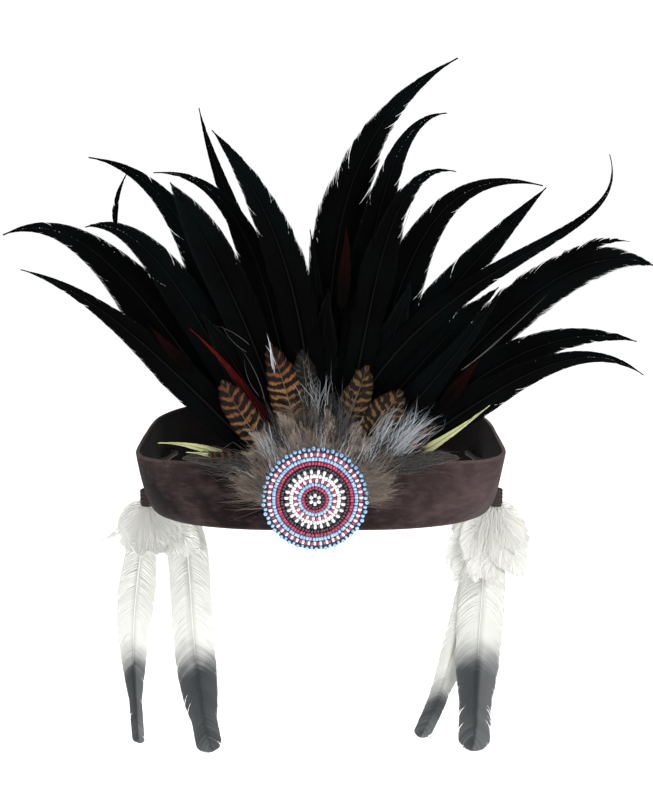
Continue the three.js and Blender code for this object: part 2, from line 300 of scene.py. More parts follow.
@dataclass(frozen=True)
class Glass:
    """Opaque glass of the seed beads; each bead is a little lighter or darker than the next."""

    name: str
    deep: Colour
    pale: Colour
    roughness: float = 0.17

    def material(self) -> Material:
        """Mixes the finish.

        Returns:
            The material.
        """
        recipe = Recipe(self.name)
        tone = recipe.kept("tone")
        swirl = recipe.noise(900.0, 2.0)
        return recipe.finish({
            "Base Color": recipe.mix(tone * 0.75 + swirl * 0.3 - 0.05, self.deep, self.pale),
            "Roughness": self.roughness + swirl * 0.12,
            "Specular IOR Level": 0.5,
            "Coat Weight": 0.3 + swirl * 0.3,
            "Coat Roughness": 0.08,
            "Normal": recipe.bump(swirl, 0.00008, 0.35),
        })


@dataclass(frozen=True)
class Thread:
    """Twisted sewing thread."""

    name: str
    colour: Colour

    def material(self) -> Material:
        """Mixes the finish.

        Returns:
            The material.
        """
        recipe = Recipe(self.name)
        twist = recipe.noise(2600.0, 1.0, (1.0, 1.0, 0.4))
        pale = tuple(min(1.0, part * 1.7 + 0.01) for part in self.colour)
        return recipe.finish({
            "Base Color": recipe.mix(twist.between(0.35, 0.65), self.colour, pale),
            "Roughness": 0.75,
            "Specular IOR Level": 0.25,
            "Normal": recipe.bump(twist, 0.0002, 0.7),
        })


@dataclass(frozen=True)
class DarkVane:
    """Dyed black vane with a faint blue-green gloss that changes from lock to lock."""

    name: str
    black: Colour
    gloss: Colour
    edge: Colour

    def material(self) -> Material:
        """Mixes the finish.

        Returns:
            The material.
        """
        recipe = Recipe(self.name)
        tone = recipe.kept("tone")
        across = abs(recipe.kept("across"))
        along = recipe.kept("along")
        cloud = recipe.noise(22.0, 3.0).between(0.4, 0.68)
        colour = recipe.mix(cloud * along * 0.9, self.black, self.gloss)
        thin = across.between(0.6, 1.0) * along.between(0.45, 1.0)
        colour = recipe.mix(thin * (0.35 + tone * 0.5), colour, self.edge)
        return recipe.finish({
            "Base Color": colour,
            "Roughness": 0.42 + tone * 0.22,
            "Specular IOR Level": 0.018,
            "Normal": recipe.bump(recipe.noise(2200.0, 2.0), 0.0001, 0.5),
        })


@dataclass(frozen=True)
class Quill:
    """The horny shaft of a feather, which darkens or pales towards its tip."""

    name: str
    root: Colour
    tip: Colour
    roughness: float = 0.35
    gloss: float = 0.3

    def material(self) -> Material:
        """Mixes the finish.

        Returns:
            The material.
        """
        recipe = Recipe(self.name)
        streak = recipe.noise(700.0, 2.0, (1.0, 1.0, 0.2))
        share = recipe.kept("along") * 0.9 + streak * 0.3 - 0.15
        return recipe.finish({
            "Base Color": recipe.mix(share, self.root, self.tip),
            "Roughness": self.roughness + streak * 0.2,
            "Specular IOR Level": self.gloss,
            "Normal": recipe.bump(streak, 0.0001, 0.4),
        })


@dataclass(frozen=True)
class BarredVane:
    """A body feather: bars or mottling on its upper part, and plain grey-brown down below it."""

    name: str
    dark: Colour
    tip_bar: Colour
    low_bar: Colour
    down: Colour
    bars: float = 7.0
    phase: float = 0.0
    thin: float = 0.0
    mottle: float = 0.2
    start: float = 0.42
    slant: float = 0.05

    def material(self) -> Material:
        """Mixes the finish.

        Returns:
            The material.
        """
        recipe = Recipe(self.name)
        tone = recipe.kept("tone")
        along = recipe.kept("along")
        across = abs(recipe.kept("across"))
        speckle = recipe.noise(560.0, 5.0, (1.0, 1.0, 0.7))
        wander = recipe.noise(120.0, 3.0)
        turn = (along - across * self.slant + (wander - 0.5) * 0.06 + tone * 0.014) * self.bars + self.phase
        wave = (turn * (2 * math.pi)).sine() + (speckle - 0.5) * (self.mottle * 7)
        bar = wave.between(self.thin, self.thin + 0.7)
        light = recipe.mix(along.between(0.55, 0.9), self.low_bar, self.tip_bar)
        worn = along.between(1.0, 0.86) * across.between(1.0, 0.7)
        colour = recipe.mix(bar * (0.3 + tone * 0.4 + worn * 0.3), self.dark, light)
        fluff = recipe.mix(tone, self.down, tuple(part * 2.6 for part in self.down))
        low = (along + (tone - 0.5) * 0.14 + across * 0.06).between(self.start + 0.1, self.start)
        return recipe.finish({
            "Base Color": recipe.mix(low, colour, fluff),
            "Roughness": 0.62 + low * 0.3,
            "Specular IOR Level": 0.1,
            "Normal": recipe.bump(speckle, 0.0001, 0.5),
        })


@dataclass(frozen=True)
class PlainVane:
    """A vane of one colour that shades towards its tip."""

    name: str
    root: Colour
    tip: Colour
    low: float = 0.2
    high: float = 0.9
    roughness: float = 0.6
    gloss: float = 0.15

    def material(self) -> Material:
        """Mixes the finish.

        Returns:
            The material.
        """
        recipe = Recipe(self.name)
        tone = recipe.kept("tone")
        streak = recipe.noise(800.0, 2.0)
        share = (recipe.kept("along") + (tone - 0.5) * 0.25).between(self.low, self.high)
        dim = tuple(part * 0.62 for part in self.root)
        colour = recipe.mix(share, recipe.mix(tone, dim, self.root), self.tip)
        colour = recipe.mix(streak * 0.3, colour, dim)
        return recipe.finish({
            "Base Color": colour,
            "Roughness": self.roughness + streak * 0.2,
            "Specular IOR Level": self.gloss,
            "Normal": recipe.bump(streak, 0.0001, 0.4),
        })


@dataclass(frozen=True)
class DippedVane:
    """White vane whose end was dipped in blue-grey dye, which climbs highest along the shaft."""

    name: str
    line: float
    pale_side: int = 0
    white: Colour = (0.79, 0.795, 0.75)
    shade: Colour = (0.73, 0.735, 0.69)
    wash: Colour = (0.15, 0.155, 0.158)
    dye: Colour = (0.026, 0.03, 0.033)

    def material(self) -> Material:
        """Mixes the finish.

        Returns:
            The material.
        """
        recipe = Recipe(self.name)
        tone = recipe.kept("tone")
        side = recipe.kept("across")
        across = abs(side)
        height = recipe.axis("Z") * 1000.0 + (tone - 0.5) * 7.0 + across * 7.0
        height = height + (recipe.noise(60.0, 2.0) - 0.5) * 14.0
        dipped = height.between(self.line + 15.0, self.line - 12.0)
        dark = height.between(self.line + 2.0, self.line - 15.0)
        end = recipe.kept("along").between(0.84, 1.0)
        pale = across * 0.3 + end * tone.between(0.35, 0.75) * 0.6 + tone * 0.15
        if self.pale_side:
            pale = pale + (side * self.pale_side).between(0.0, 0.2) * 0.5
        white = recipe.mix(tone * 0.8, self.white, self.shade)
        dye = recipe.mix(dark * (1.0 - pale * 0.75), self.wash, self.dye)
        return recipe.finish({
            "Base Color": recipe.mix(dipped, white, dye),
            "Roughness": 0.7 + tone * 0.1,
            "Specular IOR Level": 0.15,
            "Sheen Weight": 0.08,
            "Normal": recipe.bump(recipe.noise(1800.0, 2.0), 0.0001, 0.4),
        })


@dataclass(frozen=True)
class Down:
    """Soft down, a little darker where it is thick at its root."""

    name: str
    root: Colour
    tip: Colour

    def material(self) -> Material:
        """Mixes the finish.

        Returns:
            The material.
        """
        recipe = Recipe(self.name)
        share = recipe.kept("along") * 0.6 + recipe.kept("tone") * 0.55
        return recipe.finish({
            "Base Color": recipe.mix(share, self.root, self.tip),
            "Roughness": 0.9 + recipe.noise(600.0) * 0.1,
            "Specular IOR Level": 0.1,
            "Sheen Weight": 0.25,
        })


# Meshes of many slivers


def show(name: str, data: bpy.types.ID) -> Piece:
    """Puts a mesh, curve, camera or light in the scene.

    Args:
        name: the name of its object.
        data: what is shown.

    Returns:
        The object.
    """
    made = bpy.data.objects.new(name, data)
    bpy.context.scene.collection.objects.link(made)
    return made


def unit(vectors: Array) -> Array:
    """The same directions at length one; the last axis is x, y and z."""
    return vectors / np.maximum(np.linalg.norm(vectors, axis=-1, keepdims=True), 1e-9)


class Strands:
    """Gathers barbs, strands and shafts, in millimetres, into one mesh of closed slivers."""

    def __init__(self) -> None:
        """Starts with nothing in it."""
        self.points: list[Array] = []
        self.kept: dict[str, list[Array]] = {"along": [], "across": [], "tone": []}
        self.quads: list[Array] = []
        self.threes: list[Array] = []
        self.quad_finish: list[Array] = []
        self.three_finish: list[Array] = []
        self.count = 0

    def _take(self, points: Array, quads: Array, threes: Array, finish: int) -> None:
        """Adds points and the faces between them.

        Args:
            points: the places.
            quads: faces of four, numbered within points.
            threes: faces of three, numbered within points.
            finish: the number of their material.
        """
        self.points.append(points)
        self.quads.append(quads + self.count)
        self.threes.append(threes + self.count)
        self.quad_finish.append(np.full(len(quads), finish))
        self.three_finish.append(np.full(len(threes), finish))
        self.count += len(points)

    def slivers(
        self,
        lines: Array,
        facing: Array,
        half_width: Array,
        relief: float,
        marks: dict[str, Array],
        finish: int = 0,
        tilt: float = 0.0,
    ) -> None:
        """Adds slivers with a ridge along their face, each ending in a point.

        Args:
            lines: their middle lines, by sliver, station and axis.
            facing: the direction of their faces, in the same order.
            half_width: half their width, by sliver and station.
            relief: how high the ridge stands.
            marks: along, across and tone, by sliver and station.
            finish: the number of their material.
            tilt: how much lower one edge lies than the other.
        """
        many, stations = half_width.shape
        ahead = unit(np.gradient(lines, axis=1))
        aside = unit(np.cross(facing, ahead))
        up = np.cross(ahead, aside)
        reach = half_width[..., None]
        full = np.clip(half_width / max(float(half_width.max()), 1e-6), 0.15, 1.0)[..., None]
        left = lines - aside * reach - up * tilt
        ridge = lines + up * relief * full
        right = lines + aside * reach + up * tilt
        body = np.stack([left, ridge, right], axis=2)[:, :-1]
        each = 3 * (stations - 1) + 1
        points = np.concatenate([body.reshape(many, -1, 3), lines[:, -1:, :]], axis=1)
        first = np.arange(stations - 2)[:, None] * 3
        around = [(0, 2, 5, 3), (2, 1, 4, 5), (1, 0, 3, 4)]
        quads = np.concatenate([first + np.array(corners) for corners in around])
        last = 3 * (stations - 2)
        threes = np.array([
            (last, last + 2, each - 1),
            (last + 2, last + 1, each - 1),
            (last + 1, last, each - 1),
            (0, 1, 2),
        ])
        offset = (np.arange(many) * each)[:, None, None]
        self._take(
            points.reshape(-1, 3),
            (quads[None] + offset).reshape(-1, 4),
            (threes[None] + offset).reshape(-1, 3),
            finish,
        )
        for name, store in self.kept.items():
            mark = np.broadcast_to(marks[name], half_width.shape)
            thrice = np.repeat(mark[:, :-1], 3, axis=1)
            store.append(np.concatenate([thrice, mark[:, -1:]], axis=1).ravel())

    def shaft(self, line: Array, radius: Array, facing: Array, finish: int, sides: int = 6) -> None:
        """Adds a round shaft that ends in a point.

        Args:
            line: its middle line.
            radius: its radius at each station.
            facing: the direction of its face at each station.
            finish: the number of its material.
            sides: how many sides it has.
        """
        ahead = unit(np.gradient(line, axis=0))
        aside = unit(np.cross(facing, ahead))
        up = np.cross(ahead, aside)
        turn = np.linspace(0, 2 * np.pi, sides, endpoint=False)
        ring = aside[:, None] * np.cos(turn)[None, :, None] + up[:, None] * np.sin(turn)[None, :, None]
        rings = line[:-1, None] + ring[:-1] * radius[:-1, None, None]
        points = np.concatenate([rings.reshape(-1, 3), line[-1:]])
        here = np.arange(sides)
        after = (here + 1) % sides
        quads = np.concatenate([
            np.stack([here, here + sides, after + sides, after], axis=1) + station * sides
            for station in range(len(line) - 2)
        ])
        top = (len(line) - 2) * sides
        tips = np.stack([here + top, np.full(sides, len(points) - 1), after + top], axis=1)
        base = np.array([(0, k, k + 1) for k in range(1, sides - 1)])
        self._take(points, quads, np.concatenate([tips, base]), finish)
        along = np.linspace(0, 1, len(line))
        self.kept["along"].append(np.append(np.repeat(along[:-1], sides), 1.0))
        self.kept["across"].append(np.zeros(len(points)))
        self.kept["tone"].append(np.full(len(points), 0.5))

    def mesh(self, name: str) -> Piece:
        """Everything gathered, as one object in metres.

        Args:
            name: the object's name.

        Returns:
            The object.
        """
        made = bpy.data.meshes.new(name)
        points = np.concatenate(self.points) * MM
        quads = np.concatenate(self.quads)
        threes = np.concatenate(self.threes)
        corners = np.concatenate([quads.ravel(), threes.ravel()])
        totals = np.concatenate([np.full(len(quads), 4), np.full(len(threes), 3)])
        made.vertices.add(len(points))
        made.vertices.foreach_set("co", points.ravel().astype(np.float32))
        made.loops.add(len(corners))
        made.loops.foreach_set("vertex_index", corners.astype(np.int32))
        made.polygons.add(len(totals))
        starts = np.concatenate([[0], np.cumsum(totals)[:-1]])
        made.polygons.foreach_set("loop_start", starts.astype(np.int32))
        finishes = np.concatenate(self.quad_finish + self.three_finish)
        made.polygons.foreach_set("material_index", finishes.astype(np.int32))
        made.update(calc_edges=True)
        made.validate()
        for mark, store in self.kept.items():
            attribute = made.attributes.new(mark, "FLOAT", "POINT")
            attribute.data.foreach_set("value", np.concatenate(store).astype(np.float32))
        return show(name, made)


# Feathers


@dataclass(frozen=True)
class Feather:
    """One feather's middle line and outline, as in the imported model.

    The line leaves the root for bend, comes in by way of curl and ends at tip, each an x and a z.
    """

    bend: Pair
    curl: Pair
    tip: Pair
    depth: float
    width: float
    peak: float = 0.5
    taper: float = 1.0
    roll: float = 0.0
    root_width: float = 0.34
    tip_width: float = 0.03
    finish: int = 0
    ragged: float = 0.0
    blunt: float = 1.0

    def fullness(self, place: Array) -> Array:
        """The share of its full width that it has.

        Args:
            place: places along it from 0 to 1.

        Returns:
            The shares.
        """
        swelling = np.sin(np.minimum(place / self.peak, 1) * np.pi / 2)
        rising = self.root_width + (1 - self.root_width) * swelling
        falling = (1 - (np.maximum(place - self.peak, 0) / (1 - self.peak)) ** self.taper) ** self.blunt
        return np.maximum(np.where(place < self.peak, rising, falling), self.tip_width)


class Spine:
    """A feather's middle line, with the directions across it and out of its face."""

    STATIONS = 161
    LEAN_AT_CURL = 0.1

    def __init__(self, feather: Feather, root: Point) -> None:
        """Args:
            feather: the feather.
            root: where its line starts.
        """
        place = np.linspace(0, 1, self.STATIONS)[:, None]
        lean = root[1] + self.LEAN_AT_CURL * (feather.depth - root[1])
        ends = np.array([
            root,
            (feather.bend[0], root[1], feather.bend[1]),
            (feather.curl[0], lean, feather.curl[1]),
            (feather.tip[0], feather.depth, feather.tip[1]),
        ])
        rest = 1 - place
        self.points = (
            rest**3 * ends[0]
            + 3 * rest**2 * place * ends[1]
            + 3 * rest * place**2 * ends[2]
            + place**3 * ends[3]
        )
        steps = np.diff(ends, axis=0)
        self.ahead = unit(rest**2 * steps[0] + 2 * rest * place * steps[1] + place**2 * steps[2])
        side = unit(np.cross(self.ahead, (0.0, -1.0, 0.0)))
        turn = math.radians(feather.roll) * place**2
        self.side = side * np.cos(turn) + np.cross(self.ahead, side) * np.sin(turn)
        self.face = unit(np.cross(self.side, self.ahead))
        gaps = np.linalg.norm(np.diff(self.points, axis=0), axis=1)
        self.arc = np.concatenate([[0.0], np.cumsum(gaps)])
        self.length = float(self.arc[-1])
        self.half = feather.width / 2 * feather.fullness(place[:, 0])

    def _read(self, table: Array, arc: Array) -> Array:
        """A table's vectors, one for each station, at distances along the line."""
        return np.stack([np.interp(arc, self.arc, table[:, axis]) for axis in range(3)], axis=-1)

    def half_at(self, arc: Array) -> Array:
        """Half the feather's width at distances along the line."""
        return np.interp(arc, self.arc, self.half)

    def facing(self, arc: Array) -> Array:
        """The direction of the face at distances along the line."""
        return self._read(self.face, arc)

    def at(self, arc: Array, across: Array, lift: Array) -> Array:
        """Places on the feather.

        Args:
            arc: distances along the line; past its end, the line runs on straight.
            across: distances to its side.
            lift: distances out of its face.

        Returns:
            The places.
        """
        past = np.maximum(arc - self.length, 0.0)[..., None]
        middle = self._read(self.points, arc) + self.ahead[-1] * past
        return middle + self._read(self.side, arc) * across[..., None] + self.facing(arc) * lift[..., None]


@dataclass(frozen=True)
class Vane:
    """How the barbs of a kind of feather grow, in millimetres and shares."""

    pitch: float
    lead: float
    bare: float = 0.07
    overlap: float = 1.7
    relief: float = 0.1
    camber: float = 0.12
    clump: tuple[int, int] = (4, 13)
    cohesion: float = 0.08
    splits: float = 3.0
    split_gap: float = 1.1
    ragged: float = 0.04
    loose: float = 0.0
    loose_until: float = 1.0
    loose_fade: float = 0.6
    fray: float = 0.0
    shaft_root: float = 0.95
    shaft_tip: float = 0.12
    shaft_until: float = 0.97
    rounding: float = 0.8
    stations: tuple[float, ...] = (0.0, 0.2, 0.42, 0.66, 0.87, 1.0)
    shaft_rings: int = 22

    def barbs(self, strands: Strands, feather: Feather, spine: Spine, side: int, rng: Chance) -> None:
        """Grows the barbs on one side of a feather.

        Args:
            strands: what they are added to.
            feather: the feather.
            spine: its middle line.
            side: 1 or -1.
            rng: where the chance in them comes from.
        """
        length = spine.length
        many = max(8, int(length * (1 - self.bare) / self.pitch))
        start = np.linspace(self.bare * length, length - 0.3 * self.pitch, many)
        start += rng.uniform(-0.25, 0.25, many) * self.pitch
        start = np.minimum(start, length - 0.1)
        lead = self.lead * np.maximum(spine.half_at(start), 0.28 * spine.half.max())
        clump = np.repeat(np.arange(many), rng.integers(*self.clump, many))[:many]
        centre = np.bincount(clump, start) / np.maximum(np.bincount(clump), 1)
        luck = rng.random(many)
        clump_luck = rng.random(many)[clump]
        ragged = self.ragged + feather.ragged
        reach = 1 - ragged * (0.35 * luck + 0.65 * clump_luck)
        corner = self.rounding * spine.half[-1]
        limit = length - corner / 2
        over = np.clip((start + lead - limit) / (lead + corner / 2), 0, 1) * np.pi / 2
        edge = spine.half_at(np.minimum(start + lead, limit))
        end_across = edge * np.cos(over) * reach
        end_arc = np.minimum(start + lead, limit) + corner * np.sin(over)
        v = np.array(self.stations)[None]
        across = end_across[:, None] * (1 - (1 - v) ** 1.7)
        arc = start[:, None] + ((end_arc - start) * reach)[:, None] * v**1.15
        flat_lift = -self.camber * across
        plain = spine.at(arc, side * across, flat_lift)
        shift = (centre[clump] - start) * self.cohesion
        for split in rng.uniform(0.3, 0.97, int(self.splits + 40 * feather.ragged)) * length:
            away = start - split
            shift = shift + np.sign(away) * self.split_gap * rng.uniform(0.3, 1) * np.exp(-np.abs(away) / 6)
        pull = shift[:, None] * v**1.6
        free = np.clip(1 - arc / (length * self.loose_until), 0, 1) ** self.loose_fade * self.loose
        free = free + self.fray * np.clip((v - 0.6) / 0.4, 0, 1)
        wave = rng.normal(size=(many, 1)) * v**1.4
        wave += 0.5 * rng.normal(size=(many, 1)) * np.sin(v * rng.uniform(3, 7, (many, 1)))
        slide = rng.normal(size=(many, 1)) * v**1.3
        slide += 0.35 * rng.normal(size=(many, 1)) * np.sin(v * rng.uniform(3, 8, (many, 1)))
        arc = arc + pull + free * slide
        lines = spine.at(arc, side * across * (1 + 0.02 * free * slide), flat_lift + free * wave)
        ahead = unit(np.gradient(plain, axis=1))
        apart = np.gradient(plain, axis=0)
        apart -= ahead * np.sum(apart * ahead, axis=-1, keepdims=True)
        gap = np.clip(np.linalg.norm(apart, axis=-1), 0.12, self.pitch)
        profile = np.interp(v, (0, 0.6, 0.88, 1), (1, 0.95, 0.6, 0))
        marks = {
            "along": np.clip(arc / length, 0, 1),
            "across": side * np.broadcast_to(v, arc.shape),
            "tone": np.broadcast_to((0.5 * luck + 0.5 * clump_luck)[:, None], arc.shape),
        }
        strands.slivers(
            lines,
            spine.facing(arc),
            0.5 * self.overlap * gap * profile,
            self.relief,
            marks,
            feather.finish,
            0.3 * self.relief * side,
        )

    def grow(
        self, strands: Strands, feather: Feather, root: Point, rng: Chance, shaft_finish: int
    ) -> None:
        """Grows a whole feather.

        Args:
            strands: what it is added to.
            feather: the feather.
            root: where its middle line starts.
            rng: where the chance in it comes from.
            shaft_finish: the number of its shaft's material.
        """
        spine = Spine(feather, root)
        for side in (-1, 1):
            self.barbs(strands, feather, spine, side, rng)
        arc = np.linspace(0, spine.length * self.shaft_until, self.shaft_rings)
        place = arc / spine.length
        radius = self.shaft_tip + (self.shaft_root - self.shaft_tip) * (1 - place) ** 1.1
        line = spine.at(arc, np.zeros(self.shaft_rings), 0.35 * radius)
        strands.shaft(line, radius, spine.facing(arc), shaft_finish)


@dataclass(frozen=True)
class Tuft:
    """A bunch of down that starts near a point and spreads round a direction, in millimetres."""

    start: Point
    toward: Point
    spread: float
    strands: int
    finish: int = 0
    half_width: float = 0.17
    curl: float = 0.16
    scatter: float = 3.0
    shortest: float = 0.45
    ripple: float = 0.02
    tone: Pair = (0.0, 1.0)
    stations: int = 7

    def grow(self, strands: Strands, rng: Chance) -> None:
        """Adds the tuft's strands.

        Args:
            strands: what they are added to.
            rng: where the chance in them comes from.
        """
        many = self.strands
        reach = np.array(self.toward) - np.array(self.start)
        length = float(np.linalg.norm(reach))
        v = np.linspace(0, 1, self.stations)[None, :, None]
        start = np.array(self.start) + rng.normal(size=(many, 3)) * self.scatter * np.array((1, 0.4, 1))
        end = reach + rng.normal(size=(many, 3)) * length * self.spread * np.array((1, 0.45, 1))
        far = rng.uniform(self.shortest, 1.0, (many, 1))
        end = unit(end) * length * far
        sway = rng.normal(size=(many, 3)) * length * self.curl * far
        ripple = rng.normal(size=(many, 3)) * length * self.ripple
        turns = rng.uniform(5, 11, (many, 1, 1))
        lines = start[:, None] + end[:, None] * v + sway[:, None] * (v**2 - v)
        lines = lines + ripple[:, None] * np.sin(v * turns)
        facing = unit(np.array((0.0, -1.0, 0.0)) + rng.normal(size=(many, 1, 3)) * 0.5)
        facing = np.broadcast_to(facing, lines.shape)
        profile = np.interp(v[0, :, 0], (0, 0.25, 0.65, 1), (0.7, 1, 0.5, 0))
        tone = rng.uniform(*self.tone, (many, 1))
        marks = {"along": v[..., 0], "across": np.zeros((1, self.stations)), "tone": tone}
        half = self.half_width * rng.uniform(0.6, 1.3, (many, 1)) * profile[None]
        strands.slivers(lines, facing, half, self.half_width * 0.8, marks, self.finish)


@dataclass(frozen=True)
class Hair:
    """One loose strand from an x and a z to another, in millimetres."""

    start: Pair
    end: Pair
    bow: float = 0.0
    depth: Pair = (-101.5, -105.0)
    half_width: float = 0.2
    finish: int = 0

    STATIONS = 14

    def grow(self, strands: Strands, rng: Chance) -> None:
        """Adds the strand.

        Args:
            strands: what it is added to.
            rng: where the chance in it comes from.
        """
        v = np.linspace(0, 1, self.STATIONS)[None, :, None]
        start = np.array((self.start[0], self.depth[0], self.start[1]))
        step = np.array((self.end[0], self.depth[1], self.end[1])) - start
        front = np.array((0.0, -1.0, 0.0))
        aside = unit(np.cross(step, front))
        lines = start + step * v + aside * self.bow * 4 * v * (1 - v)
        profile = np.interp(v[..., 0], (0, 0.15, 0.7, 1), (0.6, 1, 0.75, 0))
        marks = {"along": v[..., 0], "across": np.zeros((1, self.STATIONS)), "tone": rng.random((1, 1))}
        half = self.half_width * profile
        facing = np.broadcast_to(front, lines.shape)
        strands.slivers(lines, facing, half, self.half_width * 0.7, marks, self.finish)


# Modelling as by hand


class Bench:
    """Blender's tools used as by hand, each on what it is told to."""

    @staticmethod
    def clear() -> None:
        """Deselects everything."""
        bpy.ops.object.select_all(action="DESELECT")

    @staticmethod
    def pick(piece: Piece) -> None:
        """Selects a piece alone and makes it the active one.

        Args:
            piece: the piece.
        """
        Bench.clear()
        piece.select_set(True)
        bpy.context.view_layer.objects.active = piece

    @staticmethod
    def edit(piece: Piece, work: Callable[[], object]) -> None:
        """Works on a piece in edit mode with all of it selected.

        Args:
            piece: the piece.
            work: what is done.
        """
        Bench.pick(piece)
        bpy.ops.object.mode_set(mode="EDIT")
        bpy.ops.mesh.select_all(action="SELECT")
        work()
        bpy.ops.object.mode_set(mode="OBJECT")

    @staticmethod
    def edit_faces(
        piece: Piece, chosen: Callable[[float, float, float], bool], work: Callable[[], object]
    ) -> None:
        """Works in edit mode on the faces whose middles are chosen.

        Args:
            piece: the piece.
            chosen: whether a face is worked on, by its middle's x, y and z in millimetres.
            work: what is done.
        """
        Bench.pick(piece)
        bpy.ops.object.mode_set(mode="EDIT")
        bpy.ops.mesh.select_mode(type="FACE")
        bpy.ops.mesh.select_all(action="DESELECT")
        bpy.ops.object.mode_set(mode="OBJECT")
        for face in piece.data.polygons:
            face.select = chosen(*(part / MM for part in face.center))
        bpy.ops.object.mode_set(mode="EDIT")
        work()
        bpy.ops.mesh.select_mode(type="VERT")
        bpy.ops.object.mode_set(mode="OBJECT")

    @staticmethod
    def settle(piece: Piece) -> None:
        """Puts a piece's place, turn and size into its mesh."""
        Bench.pick(piece)
        bpy.ops.object.transform_apply(location=True, rotation=True, scale=True)

    @staticmethod
    def modify(piece: Piece, kind: str, **settings: object) -> None:
        """Adds a modifier and applies it.

        Args:
            piece: the piece.
            kind: the modifier's type.
            settings: its properties.
        """
        Bench.pick(piece)
        made = piece.modifiers.new(kind.title(), kind)
        for key, value in settings.items():
            setattr(made, key, value)
        bpy.ops.object.modifier_apply(modifier=made.name)

    @staticmethod
    def bevel(piece: Piece, width: float, segments: int = 2, angle: float = 1.0) -> None:
        """Rounds a piece's edges of at least an angle; width is the rounding's, in millimetres."""
        cut = {"width": width * MM, "segments": segments, "limit_method": "ANGLE", "angle_limit": angle}
        Bench.modify(piece, "BEVEL", **cut)

    @staticmethod
    def disc(
        middle: Point, radius: float, thick: float, sides: int, rounding: float, segments: int
    ) -> Piece:
        """A round flat piece that faces -Y, in millimetres.

        Args:
            middle: its middle.
            radius: its radius.
            thick: its thickness.
            sides: how many sides it has.
            rounding: how wide its rounded edges are.
            segments: how many faces they have across.

        Returns:
            The disc.
        """
        Bench.clear()
        bpy.ops.mesh.primitive_cylinder_add(
            vertices=sides,
            radius=radius * MM,
            depth=thick * MM,
            location=[part * MM for part in middle],
            rotation=(math.pi / 2, 0, 0),
        )
        made = bpy.context.object
        Bench.settle(made)
        Bench.bevel(made, rounding, segments)
        return made

    @staticmethod
    def join(name: str, pieces: Sequence[Piece]) -> Piece:
        """Joins pieces into one.

        Args:
            name: the joined piece's name.
            pieces: the pieces; the first one's materials come first.

        Returns:
            The joined piece.
        """
        Bench.clear()
        for piece in pieces:
            piece.select_set(True)
        bpy.context.view_layer.objects.active = pieces[0]
        bpy.ops.object.join()
        pieces[0].name = name
        pieces[0].data.name = name
        return pieces[0]

    @staticmethod
    def smooth(piece: Piece, degrees: float = 40.0) -> None:
        """Shades a piece smooth but for the edges of at least so many degrees."""
        Bench.pick(piece)
        bpy.ops.object.shade_smooth_by_angle(angle=math.radians(degrees))

    @staticmethod
    def points(piece: Piece) -> Array:
        """Reads where a piece's points are.

        Args:
            piece: the piece.

        Returns:
            Their places in metres.
        """
        found = np.zeros(len(piece.data.vertices) * 3, np.float32)
        piece.data.vertices.foreach_get("co", found)
        return found.reshape(-1, 3).astype(float)

    @staticmethod
    def place_points(piece: Piece, points: Array) -> None:
        """Moves a piece's points to places in metres."""
        piece.data.vertices.foreach_set("co", points.astype(np.float32).ravel())
        piece.data.update()


def dress(piece: Piece, finishes: Iterable[Material], number: int | None = None) -> None:
    """Gives a piece its materials.

    Args:
        piece: the piece.
        finishes: the materials in the order of their numbers.
        number: the one that all its faces show, unless they already have their own.
    """
    for finish in finishes:
        piece.data.materials.append(finish)
    if number is not None:
        for face in piece.data.polygons:
            face.material_index = number


def hand_over(piece: Piece, node: str) -> None:
    """Makes a piece ride with the headdress and stand for its node.

    Args:
        piece: the piece.
        node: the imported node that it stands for.
    """
    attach(piece, BODY)
    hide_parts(node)
    LOG.info("%s: %d faces", piece.name, len(getattr(piece.data, "polygons", ())))


def copies(
    name: str,
    model: Piece,
    frames: Sequence[Array],
    tones: Sequence[float],
    finishes: Sequence[int],
) -> Piece:
    """Lays out copies of a model as one mesh, and removes the model.

    Args:
        name: the new piece's name.
        model: what is copied, in metres about the origin.
        frames: for each copy, the places in millimetres of its origin and of its three axes' ends.
        tones: each copy's own tone.
        finishes: each copy's material number.

    Returns:
        The piece.
    """
    shape = Bench.points(model) / MM
    frames = np.array(frames)
    points = frames[:, :1] + np.einsum("pk,nkx->npx", shape, frames[:, 1:])
    faces = [tuple(face.vertices) for face in model.data.polygons]
    count = len(shape)
    made = bpy.data.meshes.new(name)
    numbered = [
        tuple(corner + count * copy for corner in face) for copy in range(len(frames)) for face in faces
    ]
    made.from_pydata((points.reshape(-1, 3) * MM).tolist(), [], numbered)
    made.polygons.foreach_set("material_index", np.repeat(finishes, len(faces)).astype(np.int32))
    made.polygons.foreach_set("use_smooth", np.ones(len(numbered), bool))
    attribute = made.attributes.new("tone", "FLOAT", "POINT")
    attribute.data.foreach_set("value", np.repeat(tones, count).astype(np.float32))
    made.update()
    bpy.data.objects.remove(model)
    return show(name, made)


# Headband


class Band(IntEnum):
    """The finishes of the headband, by material number."""

    OUTSIDE = 0
    INSIDE = 1
    THREAD = 2


